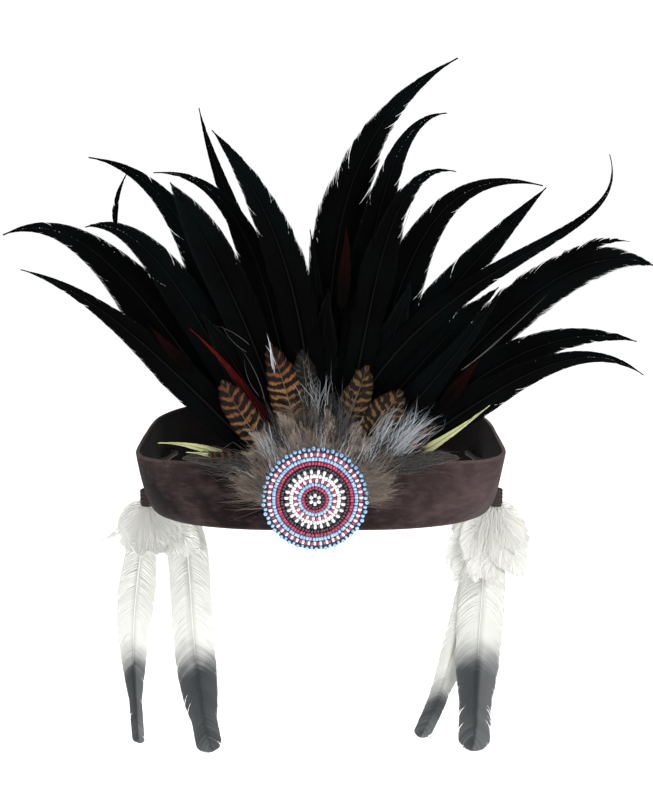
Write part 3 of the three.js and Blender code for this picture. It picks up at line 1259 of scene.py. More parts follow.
@dataclass
class Headband:
    """One loop of suede, lapped and sewn at the back, with two lace slits at each side."""

    half_width: float = 98.0
    half_depth: float = 92.0
    height: float = 36.0
    wall: float = 2.2
    front_power_low: float = 3.2
    front_power_high: float = 8.0
    back_power: float = 2.15
    taper_low: float = 2.5
    stations: int = 280
    lap_half_angle: float = 8.0
    lap_thickness: float = 1.8
    slit_long: float = 4.0
    slit_tall: float = 3.2
    slit_height: float = 12.0
    slit_places: tuple[float, float] = (12.0, 32.0)
    outside: Suede = Suede(
        "band_suede", (0.009, 0.0056, 0.0058), (0.064, 0.042, 0.043), (0.12, 0.088, 0.084)
    )
    # Painted shade: the inside is the same suede as the outside, painted many times darker for the shade
    # inside the loop.
    inside: Suede = Suede(
        "band_flesh_side", (0.0016, 0.0012, 0.0011), (0.005, 0.0036, 0.0032), (0.024, 0.017, 0.015),
        sheen=0.01,
    )
    thread: Thread = Thread("band_thread", (0.03, 0.018, 0.018))
    edge_rounding: float = 0.5
    edge_angle: float = math.radians(50)
    stitch_radius: float = 0.42
    stitch_length: float = 3.0
    stitch_pitch: float = 4.0
    stitch_rows: Pair = (0.62, 0.8)

    def reach(self, angle: Array, z: Array) -> Array:
        """The distance out to the band's outside.

        Args:
            angle: directions from the middle.
            z: heights.

        Returns:
            The distances.
        """
        up = z / self.height
        front = self.front_power_low + (self.front_power_high - self.front_power_low) * up
        power = np.where(np.sin(angle) < 0, front, self.back_power)
        wide = self.half_width - self.taper_low * (1 - up)
        across = np.abs(np.cos(angle) / wide) ** power
        along = np.abs(np.sin(angle) / self.half_depth) ** power
        return (across + along) ** (-1 / power)

    def on_wall(self, angle: Array, z: Array, inset: Array | float = 0.0) -> Array:
        """Places on the band's wall.

        Args:
            angle: directions from the middle.
            z: heights.
            inset: how far inside the outer face.

        Returns:
            The places.
        """
        def flat(turn: Array) -> Array:
            """The outline at the same heights in a direction."""
            return np.stack([np.cos(turn), np.sin(turn)], axis=-1) * self.reach(turn, z)[..., None]

        here = flat(angle)
        along = unit(flat(angle + 0.01) - flat(angle - 0.01))
        inward = np.stack([-along[..., 1], along[..., 0]], axis=-1)
        moved = here + inward * np.asarray(inset)[..., None]
        return np.concatenate([moved, np.asarray(z)[..., None] + np.zeros_like(here[..., :1])], axis=-1)

    def slit_angles(self) -> list[float]:
        """Finds where the slits lie, on both sides.

        Returns:
            The directions of their ends.
        """
        fine = np.linspace(0, math.pi / 2, 4000)
        y = self.on_wall(fine, np.full(4000, self.slit_height))[:, 1]
        ends = [place + side * self.slit_long / 2 for place in self.slit_places for side in (-1, 1)]
        right = [float(np.interp(end, y, fine)) for end in ends]
        return right + [math.pi - angle for angle in right]

    def sheet(self, angles: Array, heights: Array, outward: float) -> Piece:
        """A strip of the band's outer face, made from a grid.

        Args:
            angles: the directions of its columns.
            heights: the heights of its rows.
            outward: how far outside the band it lies.

        Returns:
            The strip.
        """
        Bench.clear()
        bpy.ops.mesh.primitive_grid_add(
            x_subdivisions=len(angles) - 1, y_subdivisions=len(heights) - 1, size=2
        )
        strip = bpy.context.object
        grid = Bench.points(strip)
        column = np.rint((grid[:, 0] + 1) / 2 * (len(angles) - 1)).astype(int)
        row = np.rint((grid[:, 1] + 1) / 2 * (len(heights) - 1)).astype(int)
        angle = angles[column]
        z = heights[row]
        sway = 0.16 * np.sin(3 * angle + z / 9) + 0.1 * np.sin(11 * angle - z / 5)
        sway = sway + 0.07 * np.sin(23 * angle)
        Bench.place_points(strip, self.on_wall(angle, z, sway - outward) * MM)
        return strip

    def loop(self) -> Piece:
        """Models the loop itself, with its slits and its thickness.

        Returns:
            The loop.
        """
        even = np.linspace(-math.pi, math.pi, self.stations + 1)
        slits = np.array(self.slit_angles())
        inner = even[1:-1]
        near = np.min(np.abs(inner[:, None] - slits[None]), axis=1) > 0.6 * (even[1] - even[0])
        angles = np.sort(np.concatenate([even[:1], inner[near], slits, even[-1:]]))
        half = self.slit_tall / 2
        low = np.linspace(0, self.slit_height - half, 5)
        high = np.linspace(self.slit_height + half, self.height, 9)
        band = self.sheet(angles, np.concatenate([low, high]), 0.0)
        middle_z = self.slit_height

        def in_slit(x: float, y: float, z: float) -> bool:
            """Whether a face's middle lies in a slit."""
            near = any(abs(y - place) < self.slit_long / 2 for place in self.slit_places)
            return abs(x) > 60 and near and abs(z - middle_z) < half

        Bench.edit_faces(band, in_slit, lambda: bpy.ops.mesh.delete(type="FACE"))
        Bench.edit(band, lambda: bpy.ops.mesh.remove_doubles(threshold=0.00001))
        Bench.edit(band, lambda: bpy.ops.mesh.normals_make_consistent(inside=False))
        Bench.modify(band, "SOLIDIFY", thickness=self.wall * MM, offset=-1.0, use_even_offset=True)
        Bench.bevel(band, self.edge_rounding, 2, self.edge_angle)
        return band

    def lap(self) -> Piece:
        """Models the end of the strap that lies over the other end at the back.

        Returns:
            The lap.
        """
        half = math.radians(self.lap_half_angle)
        angles = np.linspace(math.pi / 2 - half, math.pi / 2 + half, 15)
        tab = self.sheet(angles, np.linspace(0.2, self.height - 0.2, 11), self.lap_thickness)
        Bench.edit(tab, lambda: bpy.ops.mesh.normals_make_consistent(inside=False))
        if sum(face.normal.y for face in tab.data.polygons) < 0:
            Bench.edit(tab, lambda: bpy.ops.mesh.flip_normals())
        Bench.modify(tab, "SOLIDIFY", thickness=(self.lap_thickness - 0.1) * MM, offset=-1.0)
        Bench.bevel(tab, self.edge_rounding, 2, self.edge_angle)
        return tab

    def stitches(self) -> Piece:
        """Sews the lap with rows of stitches, from one stitch modelled once.

        Returns:
            The stitches.
        """
        Bench.clear()
        bpy.ops.mesh.primitive_cylinder_add(
            vertices=8, radius=self.stitch_radius * MM, depth=self.stitch_length * MM
        )
        model = bpy.context.object
        Bench.bevel(model, 0.3)
        frames = []
        for side in (-1, 1):
            for row in self.stitch_rows:
                angle = math.pi / 2 + side * row * math.radians(self.lap_half_angle)
                for z in np.arange(self.stitch_pitch, self.height - 2, self.stitch_pitch):
                    middle = self.on_wall(np.array(angle), np.array(z), -self.lap_thickness - 0.12)
                    out = unit(np.array((math.cos(angle), math.sin(angle), 0.0)))
                    up = np.array((0.0, 0.0, 1.0))
                    frames.append([middle, np.cross(up, out), out, up])
        many = len(frames)
        return copies("stitches", model, frames, [0.5] * many, [0] * many)

    def build(self) -> None:
        """Models the band and dresses it."""
        band, tab, sewn = self.loop(), self.lap(), self.stitches()
        finishes = [self.outside.material(), self.inside.material(), self.thread.material()]
        dress(band, finishes)
        dress(tab, finishes)
        dress(sewn, finishes, Band.THREAD)
        for face in band.data.polygons:
            x, y, _ = face.center
            inward = face.normal.x * x + face.normal.y * y < -0.3 * math.hypot(x, y)
            face.material_index = Band.INSIDE if inward else Band.OUTSIDE
        Bench.smooth(band)
        Bench.smooth(tab)
        whole = Bench.join("headband_suede", [band, tab, sewn])
        hand_over(whole, "headband")


# Rosette


class Bead(IntEnum):
    """The colours of the seed beads and of the ground under them, by material number."""

    WHITE = 0
    BLACK = 1
    RED = 2
    BLUE = 3
    GROUND = 4


@dataclass(frozen=True)
class Ring:
    """One round of beads: its radius in millimetres, how many beads, and their colours in turn."""

    radius: float
    many: int
    colours: tuple[Bead, ...]
    tall: float = 1.0


@dataclass
class Rosette:
    """The beaded disc and the leather disc behind it."""

    x: float = -2.7
    z: float = 20.0
    backing_radius: float = 26.4
    backing_front: float = -103.5
    backing_back: float = -101.7
    bead_back: float = -103.75
    bead_radius: float = 1.05
    bead_length: float = 1.5
    bead_wall: float = 0.42
    bead_shift: float = 0.05
    bead_turn: float = 0.006
    edge_lift: float = 1.35
    crown: float = 0.9
    rings: tuple[Ring, ...] = (
        Ring(0.0, 1, (Bead.BLACK,)),
        Ring(2.25, 6, (Bead.WHITE,), 1.1),
        Ring(4.15, 16, (Bead.BLACK,)),
        Ring(5.95, 24, (Bead.RED,)),
        Ring(7.75, 31, (Bead.BLUE,)),
        Ring(9.85, 40, (Bead.RED, Bead.WHITE), 1.06),
        Ring(11.95, 49, (Bead.WHITE,), 1.1),
        Ring(14.2, 54, (Bead.WHITE, Bead.BLACK), 1.22),
        Ring(16.45, 66, (Bead.BLACK,)),
        Ring(18.45, 75, (Bead.RED,), 1.05),
        Ring(20.6, 84, (Bead.BLUE,)),
        Ring(22.9, 94, (Bead.WHITE, Bead.RED), 1.12),
    )
    edge_radius: float = 25.2
    edge_pairs: int = 34
    upright_lean: float = 0.55
    upright_place: Pair = (0.65, 0.15)
    flat_place: Pair = (0.05, 0.1)
    backing: Leather = Leather("rosette_leather", (0.006, 0.008, 0.024), (0.018, 0.022, 0.05))
    felt: Thread = Thread("bead_ground", (0.012, 0.012, 0.03))
    white: Glass = Glass("bead_white", (0.68, 0.66, 0.68), (0.86, 0.85, 0.86))
    black: Glass = Glass("bead_black", (0.004, 0.003, 0.006), (0.018, 0.014, 0.022), 0.2)
    red: Glass = Glass("bead_red", (0.23, 0.006, 0.034), (0.45, 0.024, 0.09))
    blue: Glass = Glass("bead_blue", (0.17, 0.37, 0.6), (0.36, 0.58, 0.8))

    def disc(self, name: str, radius: float, front: float, back: float) -> Piece:
        """A round flat piece with a soft rim.

        Args:
            name: its name.
            radius: its radius.
            front: its front face's y.
            back: its back face's y.

        Returns:
            The disc.
        """
        thick = abs(back - front)
        made = Bench.disc((self.x, (front + back) / 2, self.z), radius, thick, 72, min(0.5, thick * 0.4), 3)
        made.name = name
        Bench.smooth(made)
        return made

    def bead_y(self, radius: float) -> float:
        """The y of a bead's middle at a distance from the rosette's middle."""
        lift = self.edge_lift - self.bead_radius + self.crown * (1 - (radius / self.edge_radius) ** 2)
        return self.bead_back - lift

    def bead(self) -> Piece:
        """Models one bead about the origin, its hole along Z.

        Returns:
            The bead.
        """
        Bench.clear()
        bpy.ops.mesh.primitive_torus_add(
            major_segments=9,
            minor_segments=6,
            major_radius=(self.bead_radius - self.bead_wall) * MM,
            minor_radius=self.bead_wall * MM,
        )
        made = bpy.context.object
        longer = self.bead_length / (2 * self.bead_wall)
        Bench.edit(made, lambda: bpy.ops.transform.resize(value=(1.0, 1.0, longer)))
        return made

    def lay(self, rng: Chance) -> Piece:
        """Lays the beads in their rounds.

        Args:
            rng: where the small shifts of the beads come from.

        Returns:
            The beads as one piece.
        """
        frames, tones, finishes = [], [], []

        def put(radius: float, turn: float, y: float, axes: tuple[Array, ...], colour: Bead) -> None:
            """Adds one bead.

            Args:
                radius: its distance from the rosette's middle.
                turn: its direction from there.
                y: its depth.
                axes: where its three axes end.
                colour: its colour.
            """
            middle = np.array((self.x + radius * math.cos(turn), y, self.z + radius * math.sin(turn)))
            frames.append([middle, *axes])
            tones.append(float(rng.random()))
            finishes.append(colour)

        front = np.array((0.0, -1.0, 0.0))
        for ring in self.rings:
            room = 2 * math.pi * ring.radius / ring.many if ring.radius else self.bead_length
            for index in range(ring.many):
                turn = 2 * math.pi * (index + 0.5) / ring.many + rng.normal() * self.bead_turn
                out = np.array((math.cos(turn), 0.0, math.sin(turn)))
                tangent = np.cross(front, out)
                colour = ring.colours[index % len(ring.colours)]
                if index == ring.many - 1 and ring.many % len(ring.colours):
                    colour = ring.colours[0]
                tall = ring.tall if colour is not Bead.BLACK else 1.0
                longer = min(1.12, room / self.bead_length * 0.97)
                axes = (out * tall, np.cross(tangent, out), tangent * longer)
                radius = ring.radius + rng.normal() * self.bead_shift
                put(radius, turn, self.bead_y(ring.radius) + rng.normal() * self.bead_shift, axes, colour)
        for index in range(self.edge_pairs * 2):
            turn = math.pi * (index + 0.25) / self.edge_pairs
            out = np.array((math.cos(turn), 0.0, math.sin(turn)))
            tangent = np.cross(front, out)
            if index % 2:
                hole = unit(front + out * self.upright_lean)
                axes = (np.cross(tangent, hole), tangent, hole)
                further, behind = self.upright_place
            else:
                axes = (out, np.cross(tangent, out), tangent)
                further, behind = self.flat_place
            y = self.bead_y(self.edge_radius) + behind
            put(self.edge_radius + further, turn, y, axes, Bead.BLUE)
        return copies("rosette_beads", self.bead(), frames, tones, finishes)

    def build(self, rng: Chance) -> None:
        """Models the rosette and dresses it.

        Args:
            rng: where the small shifts of the beads come from.
        """
        backing = self.disc(
            "rosette_leather_disc", self.backing_radius, self.backing_front, self.backing_back
        )
        dress(backing, [self.backing.material()])
        hand_over(backing, "rosette_backing")
        beads = self.lay(rng)
        ground = self.disc("bead_ground", self.edge_radius - 0.4, self.bead_back - 0.55, self.bead_back)
        finishes = [tone.material() for tone in (self.white, self.black, self.red, self.blue, self.felt)]
        dress(beads, finishes)
        dress(ground, finishes, Bead.GROUND)
        whole = Bench.join("rosette_beads", [beads, ground])
        hand_over(whole, "rosette_beadwork")


# Tail feathers


class Layer(Enum):
    """The layers of feathers between band and rosette, by the y of their roots."""

    BACK = -93.0
    MIDDLE = -94.9
    FRONT = -96.8
    ACCENT = -98.55
    PLUME = -100.2


@dataclass
class RootPad:
    """The round pad that a layer's quills are sewn to."""

    radius: float = 20.0
    thickness: float = 1.4
    x: float = -2.7
    z: float = 17.5
    finish: Leather = Leather("root_pad", (0.008, 0.007, 0.007), (0.02, 0.016, 0.015), 0.8)

    def model(self, layer: Layer) -> Piece:
        """The pad of a layer."""
        return Bench.disc((self.x, layer.value, self.z), self.radius, self.thickness, 48, 0.4, 2)


class Fan(IntEnum):
    """The finishes of the fan, by material number. The accents have the first two."""

    VANE = 0
    SHAFT = 1
    PAD = 2
    MAROON = 3
    HAIR = 4


@dataclass
class TailFan:
    """The black tail feathers, in three layers."""

    vane: Vane = Vane(pitch=0.85, lead=1.75, ragged=0.03, splits=2)
    hackle: Vane = Vane(
        pitch=0.5, lead=2.2, relief=0.07, ragged=0.12, shaft_root=0.3, shaft_tip=0.1, clump=(3, 8)
    )
    dark: DarkVane = DarkVane(
        "tail_black", (0.0005, 0.00045, 0.0005), (0.0007, 0.0022, 0.0024), (0.0075, 0.0075, 0.0072)
    )
    shaft: Quill = Quill("tail_quill", (0.0035, 0.0028, 0.0025), (0.0013, 0.0011, 0.0011), 0.5, 0.04)
    maroon: PlainVane = PlainVane(
        "maroon_hackle", (0.0013, 0.0006, 0.0006), (0.0085, 0.001, 0.0009), gloss=0.02
    )
    hair: Quill = Quill("pale_hair", (0.1, 0.095, 0.085), (0.05, 0.048, 0.044), 0.7, 0.05)
    pad: RootPad = field(default_factory=RootPad)
    feathers: dict[Layer, tuple[Feather, ...]] = field(default_factory=lambda: {
        Layer.BACK: (
            Feather((-61, 56), (-98, 176), (-160.5, 148.5), -70, 25, 0.58, 0.85, 14),
            Feather((-48, 71), (-47, 179), (-116.5, 187), -66, 24, 0.55, 0.75, 12),
            Feather((-5, 86), (-49, 163), (-61, 211.5), -62, 16, 0.5, 0.85, 10),
            Feather((12, 91.5), (-15, 193), (69, 236), -58, 28, 0.58, 0.95, -10, ragged=0.14),
            Feather((40, 72.5), (28, 194), (112, 173), -68, 23, 0.53, 0.8, -14),
            Feather((53.5, 55), (108, 160), (169, 133), -74, 24, 0.62, 2, -14, ragged=0.12),
        ),
        Layer.MIDDLE: (
            Feather((-43, 55.5), (-72, 166), (-114, 154), -95.4, 19, 0.6, 1.2),
            Feather((-22.5, 71), (-19, 184), (-80.5, 180), -95.4, 18, 0.55, 0.75),
            Feather((-3.5, 62.5), (2, 108.5), (-5, 153), -95.4, 15, 0.5, 0.9),
            Feather((27, 74), (16, 207), (60.5, 208), -95.4, 19, 0.55, 0.85),
            Feather((23, 78), (66, 130), (109, 173), -95.4, 19, 0.6, 1.3),
            Feather((48, 44), (92, 116), (156, 98), -95.4, 19, 0.6, 1.5, ragged=0.08),
        ),
        Layer.FRONT: (
            Feather((-52, 55), (-96, 121), (-142.5, 135), -112, 19, 0.5, 0.85, -18),
            Feather((-24, 70.5), (-41, 129), (-70.5, 176), -112, 21, 0.7, 2.6, -20),
            Feather((-4.5, 81.5), (-8, 150), (-50, 200), -118, 21, 0.6, 1.6, -16, ragged=0.08),
            Feather((28, 68), (20, 190), (63, 181), -118, 19, 0.58, 0.9, 18, ragged=0.18),
            Feather((36, 151), (155, 140), (133.5, 189), -120, 14, 0.36, 0.6, 16),
            Feather((34, 50), (64, 87), (88, 125.5), -110, 17, 0.55, 1, 20, ragged=0.1),
            Feather((55, 39), (113, 116.5), (157.5, 83), -106, 17, 0.5, 1, 14),
        ),
    })
    coverts: tuple[Feather, ...] = (
        Feather((28, 62), (58, 100), (87, 125), -97, 22, 0.55, 1.5, ragged=0.12),
        Feather((34, 40), (62, 62), (92, 84), -99, 18, 0.6, 1.6, ragged=0.12),
        Feather((20, 60), (36, 96), (44, 128), -98, 19, 0.6, 1.6, ragged=0.12),
        Feather((-2, 60), (0, 92), (4, 124), -99, 19, 0.6, 1.6, ragged=0.12),
        Feather((-24, 54), (-40, 84), (-58, 112), -98, 19, 0.6, 1.6, ragged=0.12),
    )
    hackles: tuple[tuple[Point, Feather], ...] = (
        ((106, -84, 122), Feather((118, 134), (134, 150), (153, 146), -78, 10, 0.5, 1.1, ragged=0.2)),
        ((-99, -94, 153), Feather((-101, 162), (-98, 172), (-92, 181.5), -95, 3.2, 0.4, 1.0)),
        ((-62, -99.6, 82), Feather((-68, 88), (-75, 96), (-83, 107), -103, 7, 0.5, 1.2, finish=Fan.MAROON)),
        ((10, -100, 112), Feather((11, 124), (13, 140), (12.5, 155), -104, 7, 0.5, 1.2, finish=Fan.MAROON)),
        ((58, -99.6, 64), Feather((64, 71), (70, 79), (78, 91), -103, 8, 0.5, 1.2, finish=Fan.MAROON)),
    )
    hairs: tuple[Hair, ...] = (
        Hair((10.1, 56), (22.5, 85), 0.6, half_width=0.24),
        Hair((26.9, 53), (35.3, 66), 0.3, half_width=0.2),
        Hair((68.8, 85), (88.5, 102), 0.4, (-103, -108), 0.16),
        Hair((70.7, 86), (110.6, 125), 0.8, (-103, -110), 0.2),
        Hair((-34.7, 97.6), (-52, 107.7), 1.4, (-103, -106), 0.11),
        Hair((-36, 94), (-48, 109), -1.8, (-103, -106), 0.1),
        Hair((-27.3, 70), (-39.6, 97.6), 1.6, (-103, -106), 0.13),
        Hair((-30, 72), (-37, 92), -2.0, (-103, -106), 0.1),
        Hair((-3, 74), (-13, 96), 2.2, (-104, -107), 0.13),
        Hair((-1, 72), (-6, 98), -1.6, (-104, -107), 0.11),
        Hair((2, 70), (5, 92), 1.4, (-104, -107), 0.1),
        Hair((38, 150), (44, 172), 1.0, (-104, -108), 0.1),
    )

    def build(self, rng: Chance) -> None:
        """Grows the three layers and dresses them.

        Args:
            rng: where the chance in the barbs comes from.
        """
        kinds = (self.dark, self.shaft, self.pad.finish, self.maroon, self.hair)
        finishes = [kind.material() for kind in kinds]
        for layer, rows in self.feathers.items():
            strands = Strands()
            root = (self.pad.x, layer.value, self.pad.z)
            for row in (*rows, *(self.coverts if layer is Layer.MIDDLE else ())):
                self.vane.grow(strands, row, root, rng, Fan.SHAFT)
            if layer is Layer.FRONT:
                for start, row in self.hackles:
                    self.hackle.grow(strands, row, start, rng, row.finish)
                for hair in self.hairs:
                    replace(hair, finish=Fan.HAIR).grow(strands, rng)
            fan = strands.mesh("black_feathers_" + layer.name.lower())
            pad = self.pad.model(layer)
            dress(fan, finishes)
            dress(pad, finishes, Fan.PAD)
            whole = Bench.join(fan.name, [fan, pad])
            hand_over(whole, "tail_feathers_" + layer.name.lower())


# Body feathers and down round the rosette


class Plumage(IntEnum):
    """The finishes of the barred plume, by material number."""

    ORANGE_BARS = 0
    GOLD_BARS = 1
    GREY_BARS = 2
    MOTTLED = 3
    SPOTTED = 4
    QUILL = 5
    DOWN = 6
    WHITE = 7
    PAD = 8
    PALE = 9
    DARK = 10


@dataclass
class BarredPlume:
    """Barred body feathers with down at their feet, and the down round the rosette's upper half."""

    vane: Vane = Vane(
        pitch=0.5, lead=0.95, relief=0.07, loose=1.5, loose_until=0.7, fray=0.4, clump=(3, 9), cohesion=0.2,
        splits=5, split_gap=0.9, ragged=0.14, shaft_root=0.4, shaft_tip=0.08, camber=0.08, rounding=1.0,
        stations=(0.0, 0.28, 0.58, 0.84, 1.0),
    )
    fluff: Vane = Vane(
        pitch=0.64, lead=1.1, relief=0.05, bare=0.02, loose=0.6, loose_until=2.0, clump=(3, 8), cohesion=0.2,
        splits=2, ragged=0.14, overlap=2.1, shaft_root=0.14, shaft_tip=0.05, camber=0.06, fray=0.5,
        stations=(0.0, 0.34, 0.72, 1.0), shaft_rings=8,
    )
    pad: RootPad = field(default_factory=RootPad)
    finishes: tuple[Finish, ...] = (
        BarredVane("plume_orange_bars", (0.004, 0.003, 0.0025), (0.13, 0.042, 0.013), (0.21, 0.11, 0.04),
                   (0.05, 0.036, 0.028), bars=17, phase=0.45, thin=0.1, mottle=0.45, start=0.5),
        BarredVane("plume_gold_bars", (0.004, 0.003, 0.0025), (0.11, 0.03, 0.01), (0.3, 0.15, 0.048),
                   (0.058, 0.042, 0.033), bars=20, phase=0.1, thin=0.15, mottle=0.4, start=0.55),
        BarredVane("plume_grey_bars", (0.003, 0.0028, 0.0028), (0.04, 0.038, 0.036), (0.09, 0.082, 0.074),
                   (0.045, 0.036, 0.031), bars=26, thin=0.5, mottle=0.4, start=0.55),
        BarredVane("plume_mottled", (0.006, 0.004, 0.0025), (0.12, 0.066, 0.02), (0.13, 0.07, 0.026),
                   (0.066, 0.049, 0.038), bars=19, mottle=0.8, thin=0.15, start=0.5),
        BarredVane("plume_spotted", (0.004, 0.003, 0.003), (0.3, 0.14, 0.028), (0.3, 0.15, 0.036),
                   (0.085, 0.068, 0.05), bars=11, thin=0.55, mottle=0.4, start=0.5, slant=0.25),
        Quill("plume_quill", (0.24, 0.17, 0.1), (0.05, 0.03, 0.016), 0.5, 0.15),
        Down("plume_down", (0.025, 0.0165, 0.012), (0.13, 0.095, 0.071)),
        Down("plume_white_down", (0.16, 0.165, 0.175), (0.5, 0.54, 0.58)),
        Leather("plume_pad", (0.02, 0.016, 0.014), (0.05, 0.04, 0.034), 0.8),
        Down("plume_pale_down", (0.05, 0.037, 0.028), (0.21, 0.162, 0.122)),
        Down("plume_dark_down", (0.003, 0.0024, 0.002), (0.017, 0.0125, 0.0098)),
    )
    rows: tuple[Feather, ...] = (
        Feather((-22, 38), (-37, 56), (-48, 80), -104.5, 16, 0.7, 3, finish=Plumage.ORANGE_BARS),
        Feather((-10, 46), (-15, 72), (-24.5, 98), -105, 19, 0.62, 2, finish=Plumage.GOLD_BARS),
        Feather((-4, 46), (-6, 70), (-9, 95), -103.5, 15, 0.68, 2.6, finish=Plumage.GREY_BARS),
        Feather((1, 40), (4, 56), (6, 74), -105, 15, 0.62, 1.8, finish=Plumage.GREY_BARS),
        Feather((7, 42), (15, 62), (23, 87), -104.5, 16, 0.68, 2.8, finish=Plumage.MOTTLED),
        Feather((13, 38), (27, 55), (39.5, 75), -105, 19, 0.7, 3, finish=Plumage.MOTTLED),
        Feather((17, 31), (36, 43), (56, 56), -104, 17, 0.7, 3, finish=Plumage.SPOTTED),
        Feather((-22, 28), (-39, 35), (-55, 43), -104, 16, 0.6, 1.8, finish=Plumage.ORANGE_BARS),
        Feather((20, 32), (44, 41), (69, 40.5), -101, 9, 0.7, 2, finish=Plumage.DARK),
        Feather((-24, 32), (-46, 41), (-68, 40.5), -101, 9, 0.7, 2, finish=Plumage.DARK),
    )
    # Bunches of down, by finish: the x and z of each one's start and end, its spread and its strands
    tufts: tuple[tuple[Plumage, tuple[tuple[Pair, Pair, float, int], ...]], ...] = (
        (Plumage.WHITE, (
            ((36, 44), (52, 68), 0.2, 90), ((42, 50), (58, 64), 0.2, 60), ((28, 48), (38, 70), 0.16, 60),
            ((0, 44), (3, 62), 0.08, 26), ((0, 64), (2, 86), 0.1, 20), ((22, 40), (28, 56), 0.14, 30),
            ((-24, 44), (-28, 60), 0.12, 26), ((-36, 32), (-46, 40), 0.12, 14),
            ((-3, 66), (-8, 84), 0.14, 10),
        )),
        (Plumage.PALE, (
            ((-30, 24), (-46, 36), 0.2, 60), ((-24, 32), (-34, 50), 0.2, 60),
            ((-12, 38), (-14, 58), 0.2, 50), ((16, 30), (35, 33), 0.16, 110),
            ((17, 24), (40, 22), 0.16, 110), ((26, 34), (40, 46), 0.2, 60),
        )),
        (Plumage.DOWN, (
            ((-18, 22), (-50, 22), 0.12, 90), ((-20, 26), (-54, 31), 0.14, 90),
            ((-22, 24), (-48, 25), 0.1, 50),
        )),
        (Plumage.DARK, (
            ((34, 38), (67, 40.5), 0.05, 130), ((-36, 37), (-66, 40.5), 0.05, 110),
            ((-4, 52), (-8, 86), 0.2, 80), ((10, 50), (14, 80), 0.2, 70), ((-16, 44), (-30, 72), 0.2, 60),
            ((30, 42), (44, 66), 0.2, 60),
        )),
        (Plumage.WHITE, (
            ((-22, 38), (-33, 60), 0.2, 44), ((12, 38), (20, 57), 0.14, 40),
            ((-13, 44), (-19, 60), 0.14, 26),
        )),
    )
    streaks: tuple[Hair, ...] = (
        Hair((-22.4, 84), (-26, 104), 0.5, (-105.4, -106.4), 0.42, Plumage.WHITE),
        Hair((-23.2, 86), (-24.2, 100), -0.4, (-105.4, -106.4), 0.3, Plumage.WHITE),
        Hair((-21.6, 88), (-26.8, 98), 0.6, (-105.4, -106.4), 0.2, Plumage.WHITE),
        Hair((18, 24), (43, 41), 0.5, (-104.2, -106), 0.24, Plumage.PALE),
        Hair((14, 18), (40, 33), 0.8, (-104.2, -106), 0.2, Plumage.PALE),
    )
    # How many small feathers each row has, and how far from the middle they start and end
    small_rows: tuple[tuple[int, float, float], ...] = ((13, 12, 43), (15, 10, 37), (14, 8, 32))
    small_finishes: tuple[int, ...] = (*(Plumage.DOWN,) * 4, Plumage.PALE, Plumage.DARK)
    root_width: float = 0.4
    tip_width: float = 0.12
    blunt: float = 0.62
    behind: float = -103.2
    down_front: float = -104.2
    fringe_many: int = 28
    fringe_reach: Pair = (34.0, 46.0)
    small_width: Pair = (10.0, 14.0)
    crest: float = 5.0
    rosette_z: float = 20.0
    covered: float = 28.0

    def fringe(self, rng: Chance) -> list[Tuft]:
        """The tufts of down that stand out round the rosette's upper half.

        Args:
            rng: where the chance in them comes from.

        Returns:
            The tufts.
        """
        made = []
        for degrees in np.linspace(10, 170, self.fringe_many):
            turn = math.radians(degrees + rng.uniform(-3, 3))
            far = rng.uniform(*self.fringe_reach) + self.crest * math.sin(turn)
            low = rng.uniform(0.0, 0.65)
            start = (self.pad.x + 15 * math.cos(turn), -101.8, self.pad.z + 15 * math.sin(turn))
            out = (self.pad.x + far * math.cos(turn), self.down_front, self.pad.z + far * math.sin(turn))
            tone = (low, low + 0.4)
            made.append(
                Tuft(start, out, 0.15, 40, Plumage.DOWN, 0.16, curl=0.22, scatter=3.4, tone=tone, stations=5)
            )
        shared = {"curl": 0.22, "scatter": 2.4, "shortest": 0.3, "stations": 5}
        for finish, bunches in self.tufts:
            depth = -106.2 if finish in (Plumage.WHITE, Plumage.PALE) else self.down_front
            half = 0.12 if finish is Plumage.WHITE else 0.16
            for near, far, spread, many in bunches:
                start = (near[0], self.behind, near[1])
                end = (far[0], depth, far[1])
                made.append(Tuft(start, end, spread, many, finish, half, **shared))
        return made

    def small_feathers(self, strands: Strands, rng: Chance) -> None:
        """Grows the rows of small fluffy feathers that lie round the rosette's upper half.

        Args:
            strands: what they are added to.
            rng: where the chance in them comes from.
        """
        def spot(radius: float, angle: float) -> Pair:
            """The x and z at a distance and a direction from the pad's middle."""
            return (self.pad.x + radius * math.cos(angle), self.pad.z + radius * math.sin(angle))

        shared = {"root_width": 0.4, "tip_width": 0.12, "blunt": 0.6}
        for row, (many, near, far) in enumerate(self.small_rows):
            for degrees in np.linspace(13, 167, many):
                turn = math.radians(degrees + rng.uniform(-5, 5))
                reach = far + rng.uniform(-3, 3) + self.crest * math.sin(turn)
                lean = turn + rng.uniform(-0.12, 0.12)
                bend = spot(near + (reach - near) * 0.35, turn)
                curl = spot(reach * 0.75, turn)
                tip = spot(reach, lean)
                finish = int(rng.choice(self.small_finishes))
                depth = -103.6 - 0.9 * row
                width = rng.uniform(*self.small_width)
                small = Feather(bend, curl, tip, depth, width, 0.6, 2.0, finish=finish, **shared)
                start = spot(near, turn)
                self.fluff.grow(strands, small, (start[0], -101.4 - 0.3 * row, start[1]), rng, finish)

